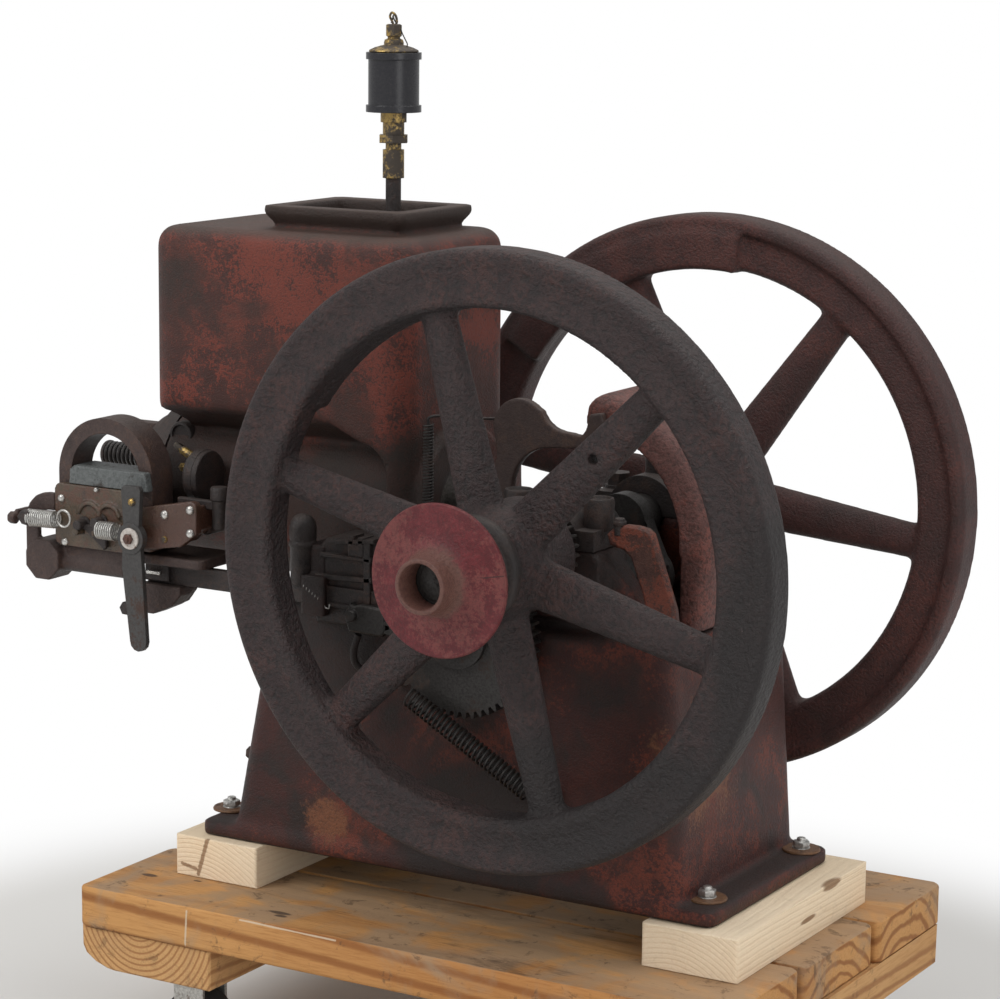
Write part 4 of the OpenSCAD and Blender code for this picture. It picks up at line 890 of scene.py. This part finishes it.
governor = {
    "bowlSpot": (-237.5, -120, 0),
    "bowl": (
        (9.6, 246), (11, 248), (11.2, 279), (12.4, 281), (12.4, 284), (11.4, 285.5), (12, 288), (12, 297),
        (10.8, 302), (7.6, 306.5), (3, 308.6), (0, 309),
    ), "neckSpot": (-237.5, -120, 262), "neck": ((6, 0), (6, 42), (8, 43), (8, 52)),
    "rails": {
        "top": ((-199, 286), (-199, 290), (-159, 295), (-159, 291)),
        "shelf": ((-215, 274), (-215, 278), (-162, 278), (-162, 274)),
        "low": ((-220, 254), (-220, 259), (-162, 261), (-162, 256)),
        "foot": ((-208, 231), (-208, 235), (-162, 235), (-162, 231)),
        "notch": (
            (-186, 278), (-186, 296), (-180, 296), (-180, 289), (-176, 289), (-176, 295), (-170, 295),
            (-170, 278),
        ), "post": ((-170, 233), (-170, 292), (-163, 292), (-163, 233)),
    }, "railDepth": (-128, -110),
    "panel": ((-222, 214), (-232, 240), (-226, 276), (-212, 290), (-160, 293), (-158, 214)),
    "panelDepth": (-123, -60),
    "arm": (
        (-177, -124, 209), (-182, -124, 194), (-181, -122, 182), (-173, -116, 174), (-168, -108, 172),
    ),
    "casting": (
        (-181, 213), (-184, 220), (-184, 232), (-180, 238), (-176, 236), (-170, 238), (-148, 237),
        (-144, 232), (-144, 216), (-148, 212),
    ), "castingDepth": (-134, -70), "bossSpot": (-177, -134, 228),
    "boss": ((5.5, -1), (5.5, 3.5), (4.6, 4.8), (0, 5.2)),
    "wires": (
        ((-212, -130, 237), (-208, -130, 231), (-204, -130, 230), (-203, -130, 234)),
        ((-230, -130, 248), (-233, -128, 252), (-234, -124, 256)),
    ),
}


def governorSide():
    cup, bars, grey = Form(), Form(), Form()
    cup.post(governor["bowlSpot"], upwards, governor["bowl"], 40)
    cup.post(governor["neckSpot"], inwards, governor["neck"], 24)
    cup.make("black_bowl", "iron", "frame", "dark_iron")
    for outline in governor["rails"].values():
        bars.plate(outline, *governor["railDepth"], 0.9)
    # the dark panel fills the space behind the rails and stands in for the shade there
    bars.plate(governor["panel"], *governor["panelDepth"], 3)
    bars.rod(governor["arm"], 3.2)
    bars.make("governor_rails", "iron", "frame", "dark_iron")
    grey.plate(governor["casting"], *governor["castingDepth"], 1.6)
    grey.post(governor["bossSpot"], towardsUs, governor["boss"], 24)
    grey.make("governor_casting", "darkSteel", "frame", "dark_steel")
    wires = springForm(["governor"])
    for points in governor["wires"]:
        wires.rod(points, 0.6, 6)
    wires.make("governor_springs", "zinc", "frame", "bare_steel")


# Long fine spring behind the wheel, hung from a rod on the hood's bracket

tallStay = {
    "hanger": ((-125, -95, 393), (-124, -95, 400), (-116, -86, 401), (-98, -72, 399), (-80, -58, 398)),
    "foot": ((-125, -95, 321), (-125, -95, 300), (-125, -95, 226)),
}


def tallSpring():
    stays = Form()
    springForm(["tall"]).make("tall_spring", "darkSteel", "frame", "dark_steel")
    stays.rod(tallStay["hanger"], 1.3, 8)
    stays.rod(tallStay["foot"], 1.6, 8)
    stays.make("tall_spring_stay", "iron", "frame", "dark_iron")


# Small parts of the magneto and of the valve springs

magneto = {
    "studSpots": ((-453.9, -149, 282), (-434.6, -149, 286)),
    "stud": ((6.6, 0), (6.6, 2.4), (4.5, 2.6), (4.5, 13), (3.6, 14), (0, 14)),
    "finger": ((-453, 279), (-450, 282), (-431, 283), (-427, 279), (-426, 264), (-429, 261), (-432, 264)),
    "fingerDepth": (-156, -151),
    "hookBlock": (
        (-520, 284), (-515, 290), (-508, 290.5), (-505, 287), (-505, 281), (-508, 276.5), (-515, 277.5),
    ), "hookDepth": (-166, -152), "nutSpot": (-415, -138, 207),
    "lug": ((-402, 233), (-402, 252), (-376, 252), (-376, 233)), "lugDepth": (-131, -118),
    "seatSpots": ((-530.5, -22, 322), (-530.5, 22, 322)),
    "springSeat": ((4, 0), (5, 1), (5, 3), (12, 4), (12.4, 5), (12.4, 7), (9, 9), (0, 9.4)),
    "loop": {"x": -471, "y": -159, "z": 286, "radius": 7.5, "from": 200, "to": 545},
    "wires": (
        ((-482, -159, 284), (-479, -159, 284), (-478, -159, 284)),
        ((-412, -159, 280), (-408, -159, 281), (-406, -159, 284), (-404, -160, 282)),
    ), "pinSpot": (-439.7, -150, 314.2), "pin": ((2.1, -0.5), (2.1, 2.2), (1.4, 3), (0, 3.1)),
    "rollerSpot": (-397, -134, 241.5), "roller": ((1.5, 0), (2, 0.6), (2, 14.4), (1.5, 15)),
    "brassSpot": (-365.4, -149.5, 276.8),
}


def magnetoDetails():
    m = magneto
    dark, wires, shiny, brass = Form(), Form(), Form(), Form()
    for spot in m["studSpots"]:
        dark.post(spot, towardsUs, m["stud"], 24)
    dark.plate(m["finger"], *m["fingerDepth"], 0.8)
    dark.plate(m["hookBlock"], *m["hookDepth"], 1.4)
    dark.nut(at(*m["nutSpot"]), towardsUs, 0.011, 0.006, 0.2)
    dark.plate(m["lug"], *m["lugDepth"], 1.2)
    for spot in m["seatSpots"]:
        dark.post(spot, endways, m["springSeat"], 32)
    dark.make("magneto_studs", "iron", "frame", "dark_iron")
    loop = m["loop"]
    turn = arc(loop["x"], loop["z"], loop["radius"], loop["from"], loop["to"], 30)
    wires.sweep([at(x, loop["y"], z) for x, z in turn], 0.0011, 7)
    for points in m["wires"]:
        wires.rod(points, 1.1, 7)
    wires.make("magneto_hooks", "zinc", "frame", "bare_steel")
    shiny.post(m["pinSpot"], towardsUs, m["pin"], 14)
    shiny.post(m["rollerSpot"], endways, m["roller"], 14)
    shiny.make("magneto_pins", "bright", "frame", "bare_steel")
    dome(brass, m["brassSpot"], 3.0)
    brass.make("magneto_brass", "brass", "frame", "old_brass")


# Fittings on the near side of the cylinder head

head = {
    "flangeSpot": (-370, -95, 326.5),
    "flange": ((19, 0), (22.4, 0.6), (23.5, 2.2), (23.5, 13.6), (22.6, 15.4), (20, 16)),
    "band": ((23, 2), (23.9, 2.4), (23.9, 10.6), (23, 11)), "oilerSpot": (-323.5, -125, 0),
    "oiler": ((5, 286), (6.4, 288), (6.4, 312), (8, 313.2), (8, 322.6), (7, 324.4), (0, 324.8)),
    "pipe": ((-323.5, -124, 291), (-323.5, -105, 291), (-323.5, -60, 291)), "coverSpot": (-414, -50, 354),
    "cover": ((12.5, 0), (12.5, 8), (11.6, 9.2), (9.4, 9.4), (9, 7.6), (0, 7.2)),
    "plugs": ((-350.5, 292.5, 6.2), (-340, 284.5, 5.6)),
    "bar": ((-365, 304), (-365, 312), (-327, 312), (-327, 304)), "barDepth": (-131, -124),
}


def headDetails():
    dark, grey = Form(), Form()
    dark.post(head["flangeSpot"], endways, head["flange"], 48)
    dark.post(head["oilerSpot"], upwards, head["oiler"], 28)
    dark.rod(head["pipe"], 5.5, 14)
    dark.post(head["coverSpot"], towardsUs, head["cover"], 36)
    for x, z, r in head["plugs"]:
        dark.post((x, -60, z), towardsUs, ((r, 0), (r, 62), (r * 0.8, 64), (r * 0.5, 63), (0, 62.6)), 28)
    dark.make("head_fittings", "iron", "frame", "dark_iron")
    grey.post(head["flangeSpot"], endways, head["band"], 48)
    grey.plate(head["bar"], *head["barDepth"], 0.8)
    grey.make("head_bar", "iron", "frame", "dark_iron")


# Oiler's lid: a low dome on the cup, a knob with a flat grip, a bent wing and loops of wire

lid = {
    "spot": (-222, 0, 0), "dome": ((21, 0), (22, 0.8), (21.6, 2), (17, 4.2), (11, 6), (7.4, 6.8)),
    "knob": ((7.2, 709), (8.6, 710), (8.8, 712.5), (8.0, 715), (5.6, 716), (5.4, 718), (0, 718)),
    "grip": (-222, 0, 717.5),
    "wing": (
        (-222, 0, 727), (-224, 0, 731), (-225.5, -1, 735), (-223.5, -1, 738.4), (-221, 1, 736),
        (-219.6, 1, 731), (-220, 0, 728),
    ),
    "hook": (
        (-215.5, 0, 727), (-213.5, 0, 721), (-210, 0, 715), (-208, 0, 711), (-210, 0, 707.6),
        (-214, 0, 707),
    ), "loop": ((-218, -2, 729), (-219.5, -4, 733), (-221.5, -2, 736), (-224, 1, 733), (-226, 2, 729.5)),
}


def oilerCap():
    form, wires = Form(), Form()
    low = (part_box("oiler_cap")[0].z - at(0, 0, 0).z) * 1000
    form.post(lid["spot"], upwards, [(r, low + h) for r, h in lid["dome"]] + list(lid["knob"]), 40)
    form.nut(at(*lid["grip"]), upwards, 0.0135, 0.011, 0.35)
    form.rod(lid["wing"], 1.1, 8)
    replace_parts(form.make("oiler_lid", "fitting", "frame", "old_brass"), "oiler_cap")
    wires.rod(lid["hook"], 0.55, 6)
    wires.rod(lid["loop"], 0.7, 6)
    wires.make("oiler_wire", "darkSteel", "frame", "dark_steel")


# Bearers under the deck: the left one's outer edge is waned

boards = {
    "left": (
        (-427, -76), (-426.6, -95), (-423, -102), (-413, -108.6), (-400, -113), (-392, -114),
        (-287, -114), (-285, -112), (-285, -76),
    ), "right": ((85, -76), (85, -112), (87, -114), (227, -114), (229, -112), (229.5, -76)),
    "ends": (-197, 219),
}


def bearerBoards():
    form = Form()
    for side in ("left", "right"):
        form.plate(boards[side], *boards["ends"], 1.6)
    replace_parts(form.make("bearer_boards", "bearer", "frame", "bearer_wood"), "bearers")


# Gussets that thicken the hopper's four upper corners from inside; radii from each corner's centre

gusset = {
    "corners": ((-400, -65.5), (-400, 65.5), (-179, -65.5), (-179, 65.5)), "middle": -289.5,
    "centre": (8, 530), "outside": 17.2, "inside": 11, "arc": (-25, 62), "spread": 24, "step": 6,
}


def cornerGussets():
    form = Form()
    g = gusset
    low, high = g["arc"]
    skin = arc(*g["centre"], g["outside"], low, high, 8) + arc(*g["centre"], g["inside"], high, low, 8)
    for x, y in g["corners"]:
        diagonal = math.atan2(math.copysign(1, y), math.copysign(1, x - g["middle"]))
        turns = [diagonal + math.radians(a) for a in range(-g["spread"], g["spread"] + 1, g["step"])]
        form.loft([[at(x + r * math.cos(t), y + r * math.sin(t), z) for r, z in skin] for t in turns])
    form.make("hopper_corners", "hopper", "frame", "red_paint")


# Priming cup: a stem out of the jacket, bent over to a small tilted cup, with a drain pip below

primer = {
    "stem": (
        (-402, -64, 340), (-402, -76, 346.6), (-399, -85, 349.4), (-393, -90, 348.4), (-388, -90, 346.4),
    ), "cupSpot": (-390, -90, 347.2), "cupAxis": (0.905, 0, -0.42),
    "cup": (
        (3.0, 0), (4.0, 0.7), (4.0, 12), (4.5, 12.4), (4.5, 13.6), (3.4, 13.8), (3.1, 12.6), (0, 12.4),
    ), "drain": ((-388, -64, 330), (-388, -84, 331), (-388, -92, 330)), "nut": (-388, -88, 331),
}


def primingCup():
    form = Form()
    form.rod(primer["stem"], 3, 12)
    form.post(primer["cupSpot"], primer["cupAxis"], primer["cup"], 28)
    form.rod(primer["drain"], 2.4, 12)
    form.nut(at(*primer["nut"]), towardsUs, 0.0075, 0.004, 0.2)
    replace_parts(form.make("priming_fitting", "fitting", "frame", "old_brass"), "priming_cup")


bedPlug = {"spot": (-306, -97, 78), "across": 10, "tall": 7}


def bedDetails():
    form = Form()
    form.nut(at(*bedPlug["spot"]), -endways, bedPlug["across"] / 1000, bedPlug["tall"] / 1000, 0.4)
    form.make("bed_plug", "rust", "frame", "rusty_iron")


pulley()
bearingSide()
governorSide()
tallSpring()
magnetoDetails()
headDetails()
oilerCap()
primingCup()
cornerGussets()
bearerBoards()
bedDetails()
print("stage: small parts")

# Camera fitted to the photograph's viewpoint

view = {"azimuth": 30.48, "elevation": 10.30, "roll": 0.58, "distance": 2.68975,
        "target": (-109.17, 0, 315.93), "lens": 109.66}


def setCamera():
    a, e, roll = (math.radians(view[k]) for k in ("azimuth", "elevation", "roll"))
    back = Vector((math.sin(a) * math.cos(e), -math.cos(a) * math.cos(e), math.sin(e)))
    right = Vector((math.cos(a), math.sin(a), 0))
    up = back.cross(right)
    turned = right * math.cos(roll) + up * math.sin(roll)
    raised = up * math.cos(roll) - right * math.sin(roll)
    data = bpy.data.cameras.new("camera")
    data.sensor_width = 36
    data.sensor_fit = "HORIZONTAL"
    data.lens = view["lens"]
    data.clip_end = 50
    camera = bpy.data.objects.new("camera", data)
    spot = at(*view["target"]) + back * view["distance"]
    turn = Matrix((turned, raised, back)).transposed().to_4x4()
    camera.matrix_world = Matrix.Translation(spot) @ turn
    bpy.context.scene.collection.objects.link(camera)
    bpy.context.scene.camera = camera


setCamera()

# Studio: pale floor, white surroundings for the camera, soft lamps

studio = {"world": 0.55, "floorTone": (0.62, 0.61, 0.59), "farTone": (0.85, 0.85, 0.85), "greyTo": 0.62,
          "whiteFrom": 0.92, "reach": 9.0, "aim": (0, 0, 0.45)}
white = (1.0, 1.0, 1.0)
lamps = {
    "key": {"from": (-1.6, -2.6, 2.9), "size": 2.4, "power": 62},
    "fill": {"from": (2.6, -1.6, 1.6), "size": 2.2, "power": 19},
    "top": {"from": (0.2, 0.6, 3.2), "size": 2.8, "power": 46},
}


def setWorld():
    net = Net("studio", True)
    seen = net.add("ShaderNodeLightPath", output="Is Camera Ray")
    through = net.add("ShaderNodeLightPath", output="Is Transmission Ray")
    soft = net.add("ShaderNodeBackground", {}, {"Color": white, "Strength": studio["world"]})
    plain = net.add("ShaderNodeBackground", {}, {"Color": white})
    bpy.context.scene.world = net.show(
        net.add("ShaderNodeMixShader", {}, {0: net.most(seen, through), 1: soft, 2: plain}))


def setFloor():
    # grey near the object for its shadow, white further out where the camera sees it
    net = Net("floor")
    x, y, z = net.axes(net.place())
    far = net.span((x * x + y * y) ** 0.5, studio["greyTo"], studio["whiteFrom"])
    tone = net.mix(far, studio["floorTone"], studio["farTone"])
    matt = net.add("ShaderNodeBsdfPrincipled", {}, {"Base Color": tone, "Roughness": 0.9})
    glow = net.add("ShaderNodeEmission", {}, {"Color": white, "Strength": 1.0})
    seen = net.add("ShaderNodeLightPath", output="Is Camera Ray")
    net.show(net.add("ShaderNodeMixShader", {}, {0: far * seen, 1: matt, 2: glow}))
    mesh = bpy.data.meshes.new("floor")
    r = studio["reach"]
    mesh.from_pydata([(-r, -r, 0), (r, -r, 0), (r, r, 0), (-r, r, 0)], [], [(0, 1, 2, 3)])
    mesh.materials.append(net.owner)
    floor = bpy.data.objects.new("floor", mesh)
    bpy.context.scene.collection.objects.link(floor)


def setLamps():
    for name, lamp in lamps.items():
        data = bpy.data.lights.new(name, "AREA")
        data.shape = "DISK"
        data.size = lamp["size"]
        data.energy = lamp["power"]
        light = bpy.data.objects.new(name, data)
        spot = Vector(lamp["from"])
        light.location = spot
        light.rotation_euler = (spot - Vector(studio["aim"])).to_track_quat("Z", "Y").to_euler()
        bpy.context.scene.collection.objects.link(light)


setWorld()
setFloor()
setLamps()
bpy.context.scene.view_settings.view_transform = "Standard"
print("stage: studio")
